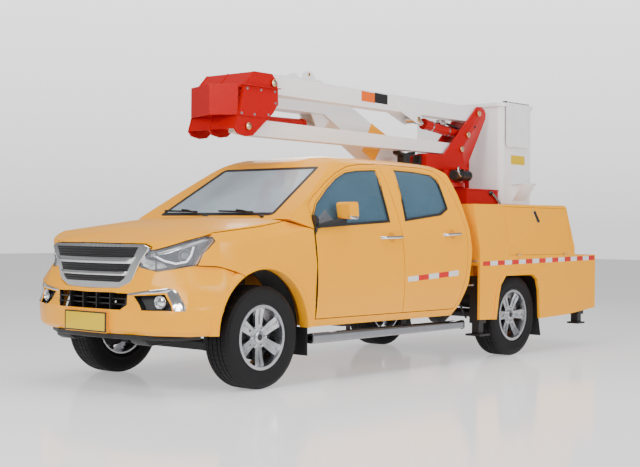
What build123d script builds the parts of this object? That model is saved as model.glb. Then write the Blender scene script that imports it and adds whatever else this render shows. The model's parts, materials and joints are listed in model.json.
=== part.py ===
from build123d import *
import os
from math import hypot

os.makedirs("parts", exist_ok=True)

# Double-cab pickup with a folding work platform. Millimetres, +X forward, +Y left, +Z up.
# The ground is z = 0 and x = 0 is half way along the truck.

# Wheels and axles
wheelbase = 3460
front_axle_x = 2015
rear_axle_x = front_axle_x - wheelbase
tyre_r = 381.5
tyre_w = 255
front_track = 1570
rear_track = 1510
rim_lip_r = 247
hub_face = 69
bead_r = 229
hub_z = tyre_r
lug_circle_r = 139.7 / 2
lug_hole_r = 7.5
lug_count = 6
hub_reach = 17.5
spindle_r = 40
kingpin_y = 690
upper_arm_z = 513
lower_arm_z = 276
arm_t = 26
arch_r = 470
arch_z = 412

# Body heights and widths
body_half = 930
sill_z = 430
door_bottom_z = 488
belt_z = 1180
roof_z = 1812
floor_z = 600
floor_t = 25
tunnel_half = 560
door_thick = 55
door_skin = 12
door_flange = 16
panel_thick = 25
panel_gap = 6
seat_gap = 0.3
glass_thick = 6
glass_inset = 10
cab_front_x = 1440
cab_rear_x = -670
fender_rear_x = cab_front_x + panel_gap
door_split_x = 340
screen_base = (1700, 1252)
screen_top = (945, 1716)

# Nose and bumper
nose_front_x = 2866
bumper_front_x = 2922
bumper_bottom_z = 421
bumper_thick = 28
grille_low_z = 740
bumper_beam_x = 2720
lamp_depth = 10
plate_thick = 7

# Chassis
rail_y = 395
rail_w = 70
rail_low_z = 462
rail_h = 128
rail_top_z = rail_low_z + rail_h

# Service body
box_front_x = -790
box_rear_x = -2500
body_rear_x = -2925
box_half = 925
box_top_y = box_half - 80
box_drop = 18
box_lean = 38
box_inner_y = 520
crease_z = 1016
box_top_z = 1437
box_floor_z = 860
deck_z = 940
box_wall = 25
lid_front_x = -1285
lid_rear_x = -2440
lid_low_z = 952
lid_high_z = 1402
lid_gap = 3
rear_arch_front = -1047
rear_arch_rear = -1837
rear_arch_z = 760
wheel_well_front = -1036
wheel_well_rear = -1856
hinge_r = 8
hinge_out = 10
hinge_xs = (-1422, -2290)

# Turret and booms: side-view (x, z) places of the pins
slew_x = -1540
slew_ring_r = 200
column_r = 150
ring_low_z = 1602
ring_high_z = 1650
turret_base_z = 1775
turret_plate_y = 100
turret_plate_t = 16
arm_pin = (-1973, 2369)
lift_base_pin = (-1785, 2142)
lift_lug_pin = (-981, 2237)
link_drop = (298, -377)
elbow_pin = (1077, 2387)
arm_w = 150
arm_wall = 8
link_w = 120
pin_r = 24
pin_gap = 0.05
eye_r = 36
eye_half = 50

# Elbow plates, each named by the y of its left face
elbow_t = 16
elbow_near_y = 100
elbow_mid_y = -194
elbow_far_y = -440

# Upper boom, beside the main arm
boom_y = -325
boom_w = 200
fold_base_pin = (877, 2120)
fold_lug_pin = (61, 2132)
bucket_pin = (-2060, 1672)

# Bucket
bucket_x = (-2785, -2185)
bucket_y = (-850, 250)
bucket_z = (1455, 2495)
bucket_wall = 12

# Jacks
jack_front_x = -930
jack_rear_x = -2740
jack_y = box_half - 115
jack_wall = 17
jack_leg = 76
jack_foot_front_z = 215
jack_foot_rear_z = 234
jack_low_z = 330
jack_top_z = 760
pedestal_low_z = 700

# Derived places
link_base_pin = (arm_pin[0] + link_drop[0], arm_pin[1] + link_drop[1])
link_elbow_pin = (elbow_pin[0] + link_drop[0], elbow_pin[1] + link_drop[1])


def polygon(points, radius=0):
    face = make_face(Polyline(*points, close=True).edges())
    return fillet(face.vertices(), radius) if radius else face


def plate_y(points, y0, y1, radius=0):
    """Outline of (x, z) points, extruded from y0 to y1."""
    return extrude(Plane.XZ.offset(-y1) * polygon(points, radius), amount=y1 - y0)


def plate_x(points, x0, x1, radius=0):
    """Outline of (y, z) points, extruded from x0 to x1."""
    return extrude(Plane.YZ.offset(x0) * polygon(points, radius), amount=x1 - x0)


def plate_z(points, z0, z1, radius=0):
    """Outline of (x, y) points, extruded from z0 to z1."""
    return extrude(Plane.XY.offset(z0) * polygon(points, radius), amount=z1 - z0)


def block(x0, x1, y0, y1, z0, z1):
    return Pos((x0 + x1) / 2, (y0 + y1) / 2, (z0 + z1) / 2) * Box(x1 - x0, y1 - y0, z1 - z0)


def rod(start, end, radius):
    """Round bar between two points."""
    start, end = Vector(*start), Vector(*end)
    axis = end - start
    return extrude(Plane(start, z_dir=axis) * Circle(radius), amount=axis.length)


def pin_y(place, radius, y0, y1):
    """Round bar along Y through an (x, z) place."""
    return rod((place[0], y0, place[1]), (place[0], y1, place[1]), radius)


def both_sides(solid):
    return [solid, mirror(solid, about=Plane.XZ)]


def save(name, *solids):
    flat = []
    for solid in solids:
        flat.extend(solid.solids())
    export_step(Compound(flat) if len(flat) > 1 else flat[0], f"parts/{name}.step")


# Cab

def cab_section(inset):
    """Full width cross-section of the cab: belly, glass house and roof arcs."""
    # columns: inward from the widest line, z
    low, sill, belly, belt, shoulder, rail, cant, edge = [
        (body_half - inward, z) for inward, z in (
            (40, sill_z), (24, door_bottom_z), (0, 830), (40, belt_z),
            (124, 1390), (258, 1650), (320, 1716), (410, 1757),
        )
    ]
    right = Line(low, sill), ThreePointArc(sill, belly, belt), ThreePointArc(belt, shoulder, rail)
    top = ThreePointArc(rail, cant, edge), ThreePointArc(edge, (0, roof_z), (-edge[0], edge[1]))
    edges = list(right) + list(top)
    for curve in list(right) + [top[0]]:
        edges.append(mirror(curve, about=Plane.YZ))
    edges.append(Line(low, (-low[0], low[1])))
    face = make_face(edges)
    return offset(face, amount=-inset, kind=Kind.INTERSECTION) if inset else face


def cab_side(inset):
    """Side view of the cab; the front edge is the screen line."""
    points = [
        (-380, sill_z), (cab_front_x, sill_z), (cab_front_x, belt_z), screen_base, screen_top,
        (820, roof_z - 40), (400, roof_z + 5), (-250, roof_z - 2), (-520, 1768), (-640, 1690),
        (cab_rear_x, 1500), (cab_rear_x, 1000), (-600, 700), (-480, 520),
    ]
    face = polygon(points)
    return offset(face, amount=-inset, kind=Kind.INTERSECTION) if inset else face


def cab_across(inset):
    """The cab's cross-section along its whole length and beyond."""
    return extrude(Plane.YZ.offset(-900) * cab_section(inset), amount=2800)


def cab_solid(inset):
    return cab_across(inset) & extrude(Plane.XZ.offset(-1000) * cab_side(inset), amount=2000)


def plane_on(low, high):
    """Plane of a raked glass between two (x, z) points, its x axis across the truck."""
    run = Vector(high[0] - low[0], 0, high[1] - low[1])
    middle = Vector((low[0] + high[0]) / 2, 0, (low[1] + high[1]) / 2)
    return Plane(middle, x_dir=(0, 1, 0), z_dir=run.cross(Vector(0, 1, 0)) * -1), run.length


def glass_pane(low, high, half_low, half_high, top, bottom, margin):
    plane, length = plane_on(low, high)
    up = (length / 2 - margin) * (1 if plane.y_dir.Z > 0 else -1)
    outline = [(-half_low, -up), (half_low, -up), (half_high, up), (-half_high, up)]
    face = polygon(outline, 40)
    return extrude(plane.offset(bottom) * face, amount=top - bottom)


front_door_outline = [
    (cab_front_x, door_bottom_z), (door_split_x, door_bottom_z), (door_split_x, belt_z),
    (door_split_x - 22, 1735), (547, 1724), (766, 1694), (942, 1638), (1117, 1557), (1347, 1432),
    (cab_front_x, 1361),
]
rear_door_outline = [
    (door_split_x, door_bottom_z), (-395, door_bottom_z), (-475, 575), (-560, 770),
    (-608, 1000), (-612, 1250), (-596, 1430), (-552, 1615), (-470, 1700), (-330, 1728),
    (door_split_x - 22, 1740), (door_split_x, belt_z),
]
front_window_outline = [
    (1410, 1200), (478, 1252), (450, 1469), (390, 1681), (664, 1665), (833, 1641), (985, 1585),
    (1151, 1496), (1334, 1376), (1408, 1288),
]
rear_window_outline = [
    (240, 1265), (139, 1692), (-165, 1687), (-386, 1666), (-436, 1617), (-418, 1374), (-291, 1321),
]


def grown(points, amount):
    return offset(polygon(points), amount=amount, kind=Kind.INTERSECTION)


def side_prism(face):
    """Face in the (x, z) view, extruded through the left side of the body."""
    return extrude(Plane.XZ.offset(-1050) * face, amount=500)


outer_cab = cab_solid(0)
inner_cab = cab_solid(door_thick)
inner_face = cab_across(door_thick)
seat_face = cab_across(door_thick + seat_gap)
skin_face = cab_across(door_skin)
cab_wall = outer_cab - inner_cab
screen_cut = glass_pane(screen_base, screen_top, 650, 545, 60, -120, 52)
screen_glass = glass_pane(screen_base, screen_top, 650, 545, -4, -4 - glass_thick, 52)
back_light = (-560, 560, 1225, 1490)
back_glass_cut = block(cab_rear_x - 90, cab_rear_x + 110, *back_light)
back_glass = block(cab_rear_x + 6, cab_rear_x + 6 + glass_thick, *back_light)

# The floor rises over the chassis between the sills
tunnel = block(cab_rear_x - 30, cab_front_x + 60, -tunnel_half, tunnel_half, sill_z - 20, floor_z)
floor_half = tunnel_half + floor_t
floor = block(cab_rear_x, cab_front_x, -floor_half, floor_half, sill_z, floor_z + floor_t) - tunnel
shell = cab_wall - tunnel + (outer_cab & floor) - screen_cut - back_glass_cut

# Doors: an outer skin that laps a smaller inner frame
half_gap = panel_gap / 2
pane_layer = cab_solid(glass_inset) - cab_solid(glass_inset + glass_thick)
door_parts = {}
for name, outline, window in (
    ("front", front_door_outline, front_window_outline),
    ("rear", rear_door_outline, rear_window_outline),
):
    hole = side_prism(grown(outline, half_gap)) - seat_face
    skin = (outer_cab - skin_face) & side_prism(grown(outline, -half_gap))
    frame = ((outer_cab & skin_face) - inner_face) & side_prism(grown(outline, -half_gap - door_flange))
    opening = side_prism(polygon(window, 12))
    shell = shell - hole - mirror(hole, about=Plane.XZ)
    door_parts[name] = (skin + frame - opening, pane_layer & opening)

# Posts behind the rear edge of each door, which the closed doors meet
post_depth = door_thick + 36
post_layer = seat_face - cab_across(post_depth)
tie_layer = cab_across(20) - cab_across(post_depth)
post_front, post_rear = door_split_x + 6, door_split_x + 50
for half in both_sides(block(post_front, post_rear, floor_half, body_half, sill_z, roof_z)):
    shell = shell + (post_layer & half)
sill_tie = block(post_front, post_rear, floor_half - 40, body_half, sill_z, door_bottom_z - half_gap - 1)
roof_tie = block(post_front, post_rear, 480, 545, 1500, roof_z)
for half in both_sides(sill_tie) + both_sides(roof_tie):
    shell = shell + (tie_layer & half)
for half in both_sides(block(-640, -560, 700, body_half, 1000, 1400)):
    shell = shell + (post_layer & half)
save("cab_shell", shell)
save("cab_glass", screen_glass, back_glass)

# Mirrors: a cap on an arm from the window's front corner, fused to each front door
mirror_cap = plate_y([(1035, 1262), (1140, 1262), (1165, 1390), (1050, 1396)], 870, 1000, 25)
mirror_arm = plate_y([(1080, 1228), (1424, 1196), (1424, 1214), (1150, 1264), (1080, 1264)], 884, 915)
mirror_foot = plate_y([(1413, 1160), (1436, 1160), (1436, 1285), (1413, 1270)], 840, 900)
front_leaf, front_pane = door_parts["front"]
door_parts["front"] = (front_leaf + mirror_foot + mirror_arm + mirror_cap, front_pane)
for name, (leaf, pane) in door_parts.items():
    for side, door, glass in zip(("left", "right"), both_sides(leaf), both_sides(pane)):
        save(f"door_{name}_{side}", door)
        save(f"glass_{name}_{side}", glass)

# Nose: bonnet, fenders, lamps, grille and bumper are cut from one skin

# columns: x, crown z, inner (y, z), edge (y, z), shoulder (y, z), flank (inward, z)
nose_sections = [
    (fender_rear_x, 1296, (520, 1288), (800, 1262), (886, 1190), (4, 900)),
    (2015, 1246, (540, 1238), (846, 1208), (902, 1100), (4, 900)),
    (2480, 1172, (540, 1166), (840, 1150), (876, 1080), (6, 880)),
    (2880, 1066, (500, 1056), (770, 1016), (850, 930), (30, 800)),
]
foot_inward = 26
flank_end = (2130, body_half)
corner_mid = (2520, body_half - 92)
corner_end = (2768, body_half - 345)


def nose_plan(grow):
    """Plan of the nose: straight flanks, round corners and a gently curved front."""
    back_x = cab_front_x - 60
    flank = Line((back_x, body_half), flank_end)
    corner = ThreePointArc(flank_end, corner_mid, corner_end)
    edges = [flank, corner, mirror(flank, about=Plane.XZ), mirror(corner, about=Plane.XZ)]
    edges.append(ThreePointArc(corner_end, (nose_front_x, 0), (corner_end[0], -corner_end[1])))
    edges.append(Line((back_x, -body_half), (back_x, body_half)))
    face = make_face(edges)
    return offset(face, amount=grow, kind=Kind.INTERSECTION) if grow else face


def nose_solid(inset):
    """The nose drawn in by an inset, and open below where there is one."""
    sections = []
    for x, crown, inner, edge, shoulder, flank in nose_sections:
        side = [(body_half - flank[0], flank[1]), (body_half - foot_inward, sill_z - 2 * inset)]
        half = [(0, crown), inner, edge, shoulder] + side
        face = polygon(half + [(-y, z) for y, z in reversed(half[1:])])
        if inset:
            face = offset(face, amount=-inset, kind=Kind.INTERSECTION)
        sections.append(Plane.YZ.offset(x) * face)
    return loft(sections, ruled=True) & extrude(Plane.XY.offset(300) * nose_plan(-inset), amount=1100)


def mirrored_outline(half):
    return half + [(-y, z) for y, z in reversed(half) if y > 0]


# Seams of the nose in the side view
bonnet_gap = [(1704, 1240), (2015, 1195), (2473, 1148), (2641, 1090), (2779, 1023), (2900, 950)]
bumper_seam = [(2228, 832), (2313, 870), (2448, 907), (2564, 912)]
lamp_rear = [(2579, 915), (2538, 1002), (2469, 1088), (2490, 1119)]
lamp_foot = [(2811, 898), (2781, 866), (2637, 903)]
lamp_top = [(2539, 1118), (2669, 1068), (2779, 1012), (2815, 990)]
nose_outer = nose_solid(0)
nose_skin = nose_outer - nose_solid(panel_thick)

# Grille: a band proud of the nose, with two mouths
grille_half = [
    (0, 1064), (500, 1060), (545, 1040), (530, 1012), (462, 918), (400, 790), (300, grille_low_z + 8),
    (0, grille_low_z),
]
grille_outline = mirrored_outline(grille_half)
grille_seat = extrude(Plane.YZ.offset(2600) * grown(grille_outline, seat_gap), amount=400)
grille_gap = extrude(Plane.YZ.offset(2600) * grown(grille_outline, panel_gap), amount=400)
grille_proud = 24
grille_thick = 55
grille_band = extrude(Plane.XY.offset(700) * nose_plan(grille_proud), amount=400)
grille_core = extrude(Plane.XY.offset(690) * nose_plan(grille_proud - grille_thick), amount=420)
grille = (grille_band - grille_core) & plate_x(grille_outline, 2650, 2925)
for mouth in ([(380, 1028), (345, 968)], [(300, 910), (285, 857)]):
    grille = grille - plate_x(mirrored_outline(mouth), 2600, 2960)
save("grille", grille)

above_gap = [(1704, 1400)] + bonnet_gap + [(2900, 1400)]
bonnet = (nose_skin & plate_y(above_gap, -900, 900)) - grille_gap
save("bonnet", bonnet)

# Front fenders, with a flare round each arch
arch_cut = pin_y((front_axle_x, arch_z), arch_r, 500, 1000)
arch_foot = block(front_axle_x - arch_r, front_axle_x + arch_r, 500, 1000, 300, arch_z)
flare_section = [
    (arch_r, 840), (arch_r, body_half - 4), (arch_r + 6, body_half + 4), (arch_r + 26, body_half + 4),
    (arch_r + 60, body_half - 25), (arch_r + 60, 840),
]
flare = Pos(front_axle_x, 0, arch_z) * revolve(Plane.XY * polygon(flare_section), axis=Axis.Y)
flare = flare - arch_cut - arch_foot
fender_side = [
    (fender_rear_x, sill_z), (fender_rear_x, belt_z - panel_gap), (1704, 1240 - panel_gap),
    (2015, 1195 - panel_gap), (2473, 1148 - panel_gap), (2486, 1143 - panel_gap),
]
fender_side = fender_side + [(x - 2 * seat_gap, z) for x, z in reversed(lamp_rear)]
fender_side = fender_side + [(x, z + panel_gap / 2) for x, z in reversed(bumper_seam)] + [(2228, sill_z)]
fender_zone = plate_y(fender_side, 700, 960)
fender = ((nose_skin & fender_zone) - arch_cut - arch_foot) + (flare & fender_zone)
save("front_fenders", *both_sides(fender))

lamp_side = lamp_rear + lamp_top + lamp_foot
lamp_thick = 60
lamp_band = extrude(Plane.XY.offset(800) * (nose_plan(0) - nose_plan(-lamp_thick)), amount=400)
lamp = (nose_outer & lamp_band & plate_y(lamp_side, 400, 900)) - grille_seat

# columns: z, front, side (back, inward), bend (back, inward), corner (back, inward);
# back is behind the bumper's front, inward is from the widest line of the body
bumper_levels = [
    (bumper_bottom_z, 42, (482, 25), (242, 110), (122, 330)),
    (450, 10, (472, 2), (216, 92), (76, 340)),
    (600, 0, (472, -2), (206, 88), (66, 340)),
    (636, 20, (482, 4), (222, 98), (84, 340)),
    (770, 24, (492, 4), (228, 102), (92, 340)),
    (900, 52, (522, 50), (262, 188), (148, 340)),
    (950, 52, (522, 50), (262, 188), (148, 340)),
]
bumper_back_x = 2200
quarter_y = 300


def bumper_solid(inset):
    levels = []
    for z, front, *bends in bumper_levels:
        half = [(bumper_front_x - back, body_half - inward) for back, inward in bends]
        half = [(bumper_back_x, half[0][1])] + half + [(bumper_front_x - front - 22, quarter_y)]
        outline = half + [(bumper_front_x - front, 0)] + [(x, -y) for x, y in reversed(half)]
        face = polygon(outline)
        if inset:
            face = offset(face, amount=-inset, kind=Kind.INTERSECTION)
        levels.append(Plane.XY.offset(z) * face)
    return loft(levels, ruled=True)


bumper_top = [(x, z - panel_gap / 2) for x, z in bumper_seam]
bumper_top = bumper_top + [(2579, 915 - seat_gap)] + [(x, z - seat_gap) for x, z in reversed(lamp_foot)]
bumper_top = bumper_top + [(2960, 897)]
bumper_side = bumper_top + [(2960, bumper_bottom_z), (bumper_seam[0][0], bumper_bottom_z)]
bumper_zone = plate_y(bumper_side, -960, 960)
bumper = ((bumper_solid(0) - bumper_solid(bumper_thick)) & bumper_zone) - grille_seat
bumper = bumper - block(2180, 2320, -850, 850, 400, 960)
bumper = bumper - plate_x([(388, 712), (-388, 712), (-345, 595), (345, 595)], 2700, 2960)
for y in (-228, -76, 76, 228):
    bumper = bumper + block(2850, 2893, y - 5, y + 5, 590, 716)
for z in (634, 673):
    bumper = bumper + block(2858, 2872, -385, 385, z - 4, z + 4)
bumper = bumper + block(bumper_front_x - 40, bumper_front_x + plate_thick, -230, 230, 425, 577)

# Fog lamps sit in pockets, and two brackets meet the cross member behind
fog_depth = 70
fog_outline = polygon([(442, 697), (683, 714), (748, 600), (534, 599)])
fog_hole = extrude(Plane.YZ.offset(2600) * fog_outline, amount=360)
fog_box = extrude(Plane.YZ.offset(2600) * offset(fog_outline, amount=8, kind=Kind.INTERSECTION), amount=360)
fog_pocket = (bumper_solid(1) - bumper_solid(fog_depth + 8)) & (fog_box - fog_hole)
fog_pocket = fog_pocket + ((bumper_solid(fog_depth) - bumper_solid(fog_depth + 8)) & fog_box)
fog_round = rod((2600, 645, 657), (2960, 645, 657), 42)
fog_lamp = (bumper_solid(22) - bumper_solid(fog_depth - seat_gap)) & fog_round
bracket = block(bumper_beam_x + seat_gap, 2858, 392, 432, 480, 560)
for cutter in both_sides(arch_cut) + both_sides(arch_foot) + both_sides(fog_hole):
    bumper = bumper - cutter
for piece in both_sides(fog_pocket) + both_sides(bracket) + both_sides(flare & bumper_zone):
    bumper = bumper + piece
save("front_bumper", bumper)

tail_lamp = block(body_rear_x, body_rear_x + lamp_depth, 560, 690, 700, 780)
save("lamps", *both_sides(lamp), *both_sides(fog_lamp), *both_sides(tail_lamp))

# Cabin

seat_z = floor_z + floor_t + seat_gap
seat_solids = []
for y in (-370, 370):
    cushion = plate_y([
        (980, seat_z), (520, seat_z), (470, seat_z + 110), (500, seat_z + 185), (1000, seat_z + 215),
    ], y - 250, y + 250)
    back = plate_y([(560, seat_z + 150), (450, seat_z + 150), (300, 1330), (395, 1350)], y - 240, y + 240)
    head = plate_y([(380, 1372), (300, 1372), (285, 1510), (355, 1520)], y - 130, y + 130)
    seat = cushion + back + head
    for dy in (-60, 60):
        seat = seat + block(334, 348, y + dy - 7, y + dy + 7, 1320, 1400)
    seat_solids.append(seat)
bench = plate_y([
    (60, seat_z), (-420, seat_z), (-440, seat_z + 130), (-400, seat_z + 180), (80, seat_z + 210),
], -700, 700)
bench = bench + plate_y([(-330, seat_z + 130), (-430, seat_z + 110), (-560, 1330), (-480, 1345)], -700, 700)
for y in (-400, 0, 400):
    bench = bench + plate_y([(-485, 1362), (-560, 1362), (-570, 1490), (-510, 1500)], y - 120, y + 120)
    for dy in (-50, 50):
        bench = bench + block(-530, -516, y + dy - 7, y + dy + 7, 1320, 1400)
save("seats", *seat_solids, bench)

wall_x = cab_front_x - door_thick
dash = plate_y([
    (wall_x, 760), (wall_x, 1195), (1320, 1218), (1130, 1192), (1090, 1090), (1150, 930), (1190, 760),
], -740, 740)
steering_hub = (895, 370, 1124)
steering_column = rod((1180, 370, 1010), steering_hub, 30)
steering_plane = Plane(steering_hub, z_dir=(-275, 0, 110))
steering_ring = polygon([(166, 0), (173, -13), (187, -13), (194, 0), (187, 13), (173, 13)])
steering_wheel = steering_plane * revolve(Plane.XZ * steering_ring, axis=Axis.Z)
steering_spokes = steering_plane * (Box(350, 30, 16) + Cylinder(50, 30))
save("dashboard", dash + steering_column + steering_wheel + steering_spokes)

# Engine: one plain block at its real place, on two cross members
cross_top_z = rail_top_z - 20
engine_x = (1560, 2420)
save("engine_block", block(*engine_x, -270, 270, cross_top_z + seat_gap, 1060))

# Running boards
rail_face = rail_y + rail_w / 2
board_section = [
    (770, 312), (770, 346), (body_half - 30, 380), (body_half - 6, 380), (body_half + 2, 362),
    (body_half + 2, 318), (body_half - 14, 302), (body_half - 40, 302),
]
board_side = [(1480, 302), (1505, 330), (1505, 364), (1480, 381), (-534, 366), (-534, 315), (-452, 312)]
board = plate_x(board_section, -534, 1505) & plate_y(board_side, 700, 1000)
for x in (1250, 480, -300):
    board = board + block(x - 25, x + 25, rail_face, 775, 312, 330)
    board = board + block(x - 25, x + 25, rail_face, rail_face + 12, 312, rail_low_z + 60)
save("running_boards", *both_sides(board))

# Chassis frame

frame = None
rail_inner = rail_y - rail_w / 2
for half in both_sides(block(-2860, bumper_beam_x - 60, rail_inner, rail_face, rail_low_z, rail_top_z)):
    frame = half if frame is None else frame + half
for x in (1700, 2300, 900, 0, -700, -1050, -1900, -2300, -2820):
    frame = frame + block(x - 40, x + 40, -rail_y, rail_y, rail_low_z + 20, cross_top_z)
frame = frame + block(bumper_beam_x - 120, bumper_beam_x, -640, 640, 440, 560)
# mounts under the cab floor
bearer_half = tunnel_half - 20
for x in (1250, 200, -450):
    frame = frame + block(x - 45, x + 45, -bearer_half, bearer_half, rail_top_z - 60, rail_top_z - 8)
    for y in (-480, 480):
        frame = frame + block(x - 34, x + 34, y - 34, y + 34, rail_top_z - 20, floor_z - seat_gap)
# spring towers, and the beam with the buffers that the bonnet rests on
for half in both_sides(block(front_axle_x - 80, front_axle_x + 80, rail_y, 530, 690, 710)):
    frame = frame + half
for half in both_sides(block(front_axle_x - 80, front_axle_x + 80, rail_y, rail_face, rail_top_z - 10, 690)):
    frame = frame + half
buffer_x = bumper_beam_x - 100
frame = frame + block(buffer_x - 20, buffer_x + 20, -560, 560, 940, 980)
for half in both_sides(block(buffer_x - 20, buffer_x + 20, 520, 560, 550, 950)):
    frame = frame + half
buffers = rod((buffer_x, 430, 970), (buffer_x, 430, 1300), 16) & nose_solid(panel_thick + seat_gap)
for half in both_sides(buffers):
    frame = frame + half
# beams that carry the jacks and the pedestal
for x in (jack_front_x, jack_rear_x):
    frame = frame + block(x - 50, x + 50, 40 - jack_y, jack_y - 40, rail_top_z - 10, 680)
for x in (slew_x - 230, slew_x + 230):
    frame = frame + block(x - 50, x + 50, -rail_y - 60, rail_y + 60, rail_top_z - 10, pedestal_low_z)
housing = jack_leg + 2 * jack_wall
guide = jack_leg + 2 * seat_gap
jack_places = []
for place, x in (("front", jack_front_x), ("rear", jack_rear_x)):
    for side, y in (("left", jack_y), ("right", -jack_y)):
        jack_places.append((f"{place}_{side}", x, y))
for name, x, y in jack_places:
    tube = block(x - housing / 2, x + housing / 2, y - housing / 2, y + housing / 2, jack_low_z, jack_top_z)
    frame = frame + tube
for name, x, y in jack_places:
    frame = frame - block(x - guide / 2, x + guide / 2, y - guide / 2, y + guide / 2, 0, jack_top_z - 10)
save("chassis_frame", frame)

for name, x, y in jack_places:
    front = x == jack_front_x
    foot_z = jack_foot_front_z if front else jack_foot_rear_z
    foot_half = 80 if front else 66
    leg = block(x - jack_leg / 2, x + jack_leg / 2, y - jack_leg / 2, y + jack_leg / 2, foot_z, 700)
    foot = block(x - foot_half, x + foot_half, y - foot_half, y + foot_half, foot_z, foot_z + 18)
    save(f"jack_{name}", leg + foot)

# Suspension

suspension = block(front_axle_x - 120, front_axle_x + 120, -rail_face, rail_face, 262, 320)
half_arm = arm_t / 2
for z, reach in ((lower_arm_z, 150), (upper_arm_z, 110)):
    wishbone = plate_z([
        (front_axle_x - reach, rail_face), (front_axle_x + reach, rail_face),
        (front_axle_x + 34, kingpin_y + 8), (front_axle_x - 34, kingpin_y + 8),
    ], z - half_arm, z + half_arm)
    for half in both_sides(wishbone):
        suspension = suspension + half
leg_x = (front_axle_x - 110, front_axle_x + 110)
leg = block(*leg_x, rail_face - 40, rail_face + 14, 262, rail_low_z - seat_gap)
side_plate = block(*leg_x, rail_face + seat_gap, rail_face + 14, 440, 530)
coil = rod((front_axle_x, 570, lower_arm_z), (front_axle_x, 485, 689), 45)
coil = coil & block(front_axle_x - 80, front_axle_x + 80, 400, 700, 200, 690 - seat_gap)
for half in both_sides(leg) + both_sides(side_plate) + both_sides(coil):
    suspension = suspension + half
save("front_suspension", suspension)

rear_hub_y = rear_track / 2 - hub_reach - seat_gap
rear = rod((rear_axle_x, -rear_hub_y, hub_z), (rear_axle_x, rear_hub_y, hub_z), 42)
differential = [(0, 125), (62, 118), (118, 48), (118, -48), (62, -118), (0, -125)]
rear = rear + Pos(rear_axle_x, 0, hub_z) * revolve(Plane.XY * polygon(differential), axis=Axis.Y)
spring_y = (490, 560)
spring = plate_y([
    (rear_axle_x + 680, 530), (rear_axle_x + 300, 450), (rear_axle_x, 430), (rear_axle_x - 300, 450),
    (rear_axle_x - 680, 530), (rear_axle_x - 680, 546), (rear_axle_x - 300, 474), (rear_axle_x, 460),
    (rear_axle_x + 300, 474), (rear_axle_x + 680, 546),
], *spring_y)
spring = spring + block(rear_axle_x - 60, rear_axle_x + 60, *spring_y, hub_z, 436)
for x in (rear_axle_x + 680, rear_axle_x - 680):
    spring = spring + block(x - 20, x + 20, rail_face, spring_y[1] + 2, 520, 560)
for half in both_sides(spring):
    rear = rear + half
save("rear_axle", rear)


# Wheels

tread_blocks = 44
spoke_count = 6


def ring_prism(levels):
    """Solid through regular polygons, one face to each tread block; levels are (y, radius)."""
    faces = []
    for y, radius in levels:
        outline = RegularPolygon(radius, tread_blocks, major_radius=False, rotation=180 / tread_blocks)
        faces.append(Plane.XZ.offset(-y) * outline)
    return loft(faces, ruled=True)


def wheel(x, side, track, turn):
    """Tyre and alloy wheel, outer face towards side (1 left, -1 right)."""
    half = tyre_w / 2
    bead_y = half - 22.3
    shoulder = [(half, 322), (half - 4, 355), (half - 20, tyre_r - 6), (half - 42, tyre_r)]
    tyre = ring_prism([(-y, r) for y, r in shoulder] + list(reversed(shoulder)))
    tyre = tyre - ring_prism([(-half - 1, bead_r + seat_gap), (half + 1, bead_r + seat_gap)])
    for sign in (-1, 1):
        wall = [(half + 1, 318), (half - 10, rim_lip_r + 4), (bead_y, rim_lip_r + 1), (bead_y - 1, bead_r)]
        tyre = tyre - ring_prism([(sign * y, r) for y, r in wall])
    lip = half - 21.5
    barrel = [
        (bead_r, -lip), (bead_r, lip - 0.5), (rim_lip_r, lip), (rim_lip_r, lip + 4),
        (bead_r - 12, lip + 4), (bead_r - 32, 0), (bead_r - 12, -lip),
    ]
    rim = revolve(Plane.XY * polygon(barrel), axis=Axis.Y)
    rim = rim + rod((0, -hub_reach, 0), (0, hub_face, 0), lug_circle_r + 16)
    # spokes rise towards the rim, each with a groove along its middle
    spoke = plate_z([
        (60, hub_face - 30), (60, hub_face), (150, hub_face + 5), (222, hub_face + 20),
        (222, hub_face - 6), (150, hub_face - 20),
    ], -46, 46)
    spoke = spoke & plate_y([(60, -32), (60, 32), (222, 46), (222, -46)], 0, half)
    groove = [(96, hub_face - 8), (150, hub_face - 5), (206, hub_face + 6), (206, half), (96, half)]
    spoke = spoke - plate_z(groove, -10, 10)
    for i in range(spoke_count):
        rim = rim + Rot(0, i * 360 / spoke_count + turn, 0) * spoke
    for i in range(lug_count):
        lug_hole = rod((lug_circle_r, 0, 0), (lug_circle_r, half, 0), lug_hole_r)
        rim = rim - Rot(0, i * 360 / lug_count, 0) * lug_hole
    place = Pos(x, side * track / 2, hub_z)
    if side < 0:
        place = place * Rot(0, 0, 180)
    return place * tyre, place * rim


# columns: place, axle x, track, turn of the spokes
axles = (("front", front_axle_x, front_track, 30), ("rear", rear_axle_x, rear_track, 0))
for place, x, track, turn in axles:
    for side, sign in (("left", 1), ("right", -1)):
        tyre, rim = wheel(x, sign, track, turn)
        save(f"tyre_{place}_{side}", tyre)
        save(f"rim_{place}_{side}", rim)

# Knuckles stand between the ball joints of the two wishbones
knuckle_low = lower_arm_z + half_arm + seat_gap
knuckle_high = upper_arm_z - half_arm - seat_gap
knuckle = block(
    front_axle_x - 34, front_axle_x + 34, kingpin_y - 34, kingpin_y + 8, knuckle_low, knuckle_high,
)
spindle_end = front_track / 2 - hub_reach - seat_gap
knuckle = knuckle + rod((front_axle_x, kingpin_y, hub_z), (front_axle_x, spindle_end, hub_z), spindle_r)
knuckle = knuckle + block(front_axle_x - 140, front_axle_x - 30, kingpin_y - 30, kingpin_y - 6, 340, 366)
for side, part in zip(("left", "right"), both_sides(knuckle)):
    save(f"knuckle_{side}", part)

# Service body

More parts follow.
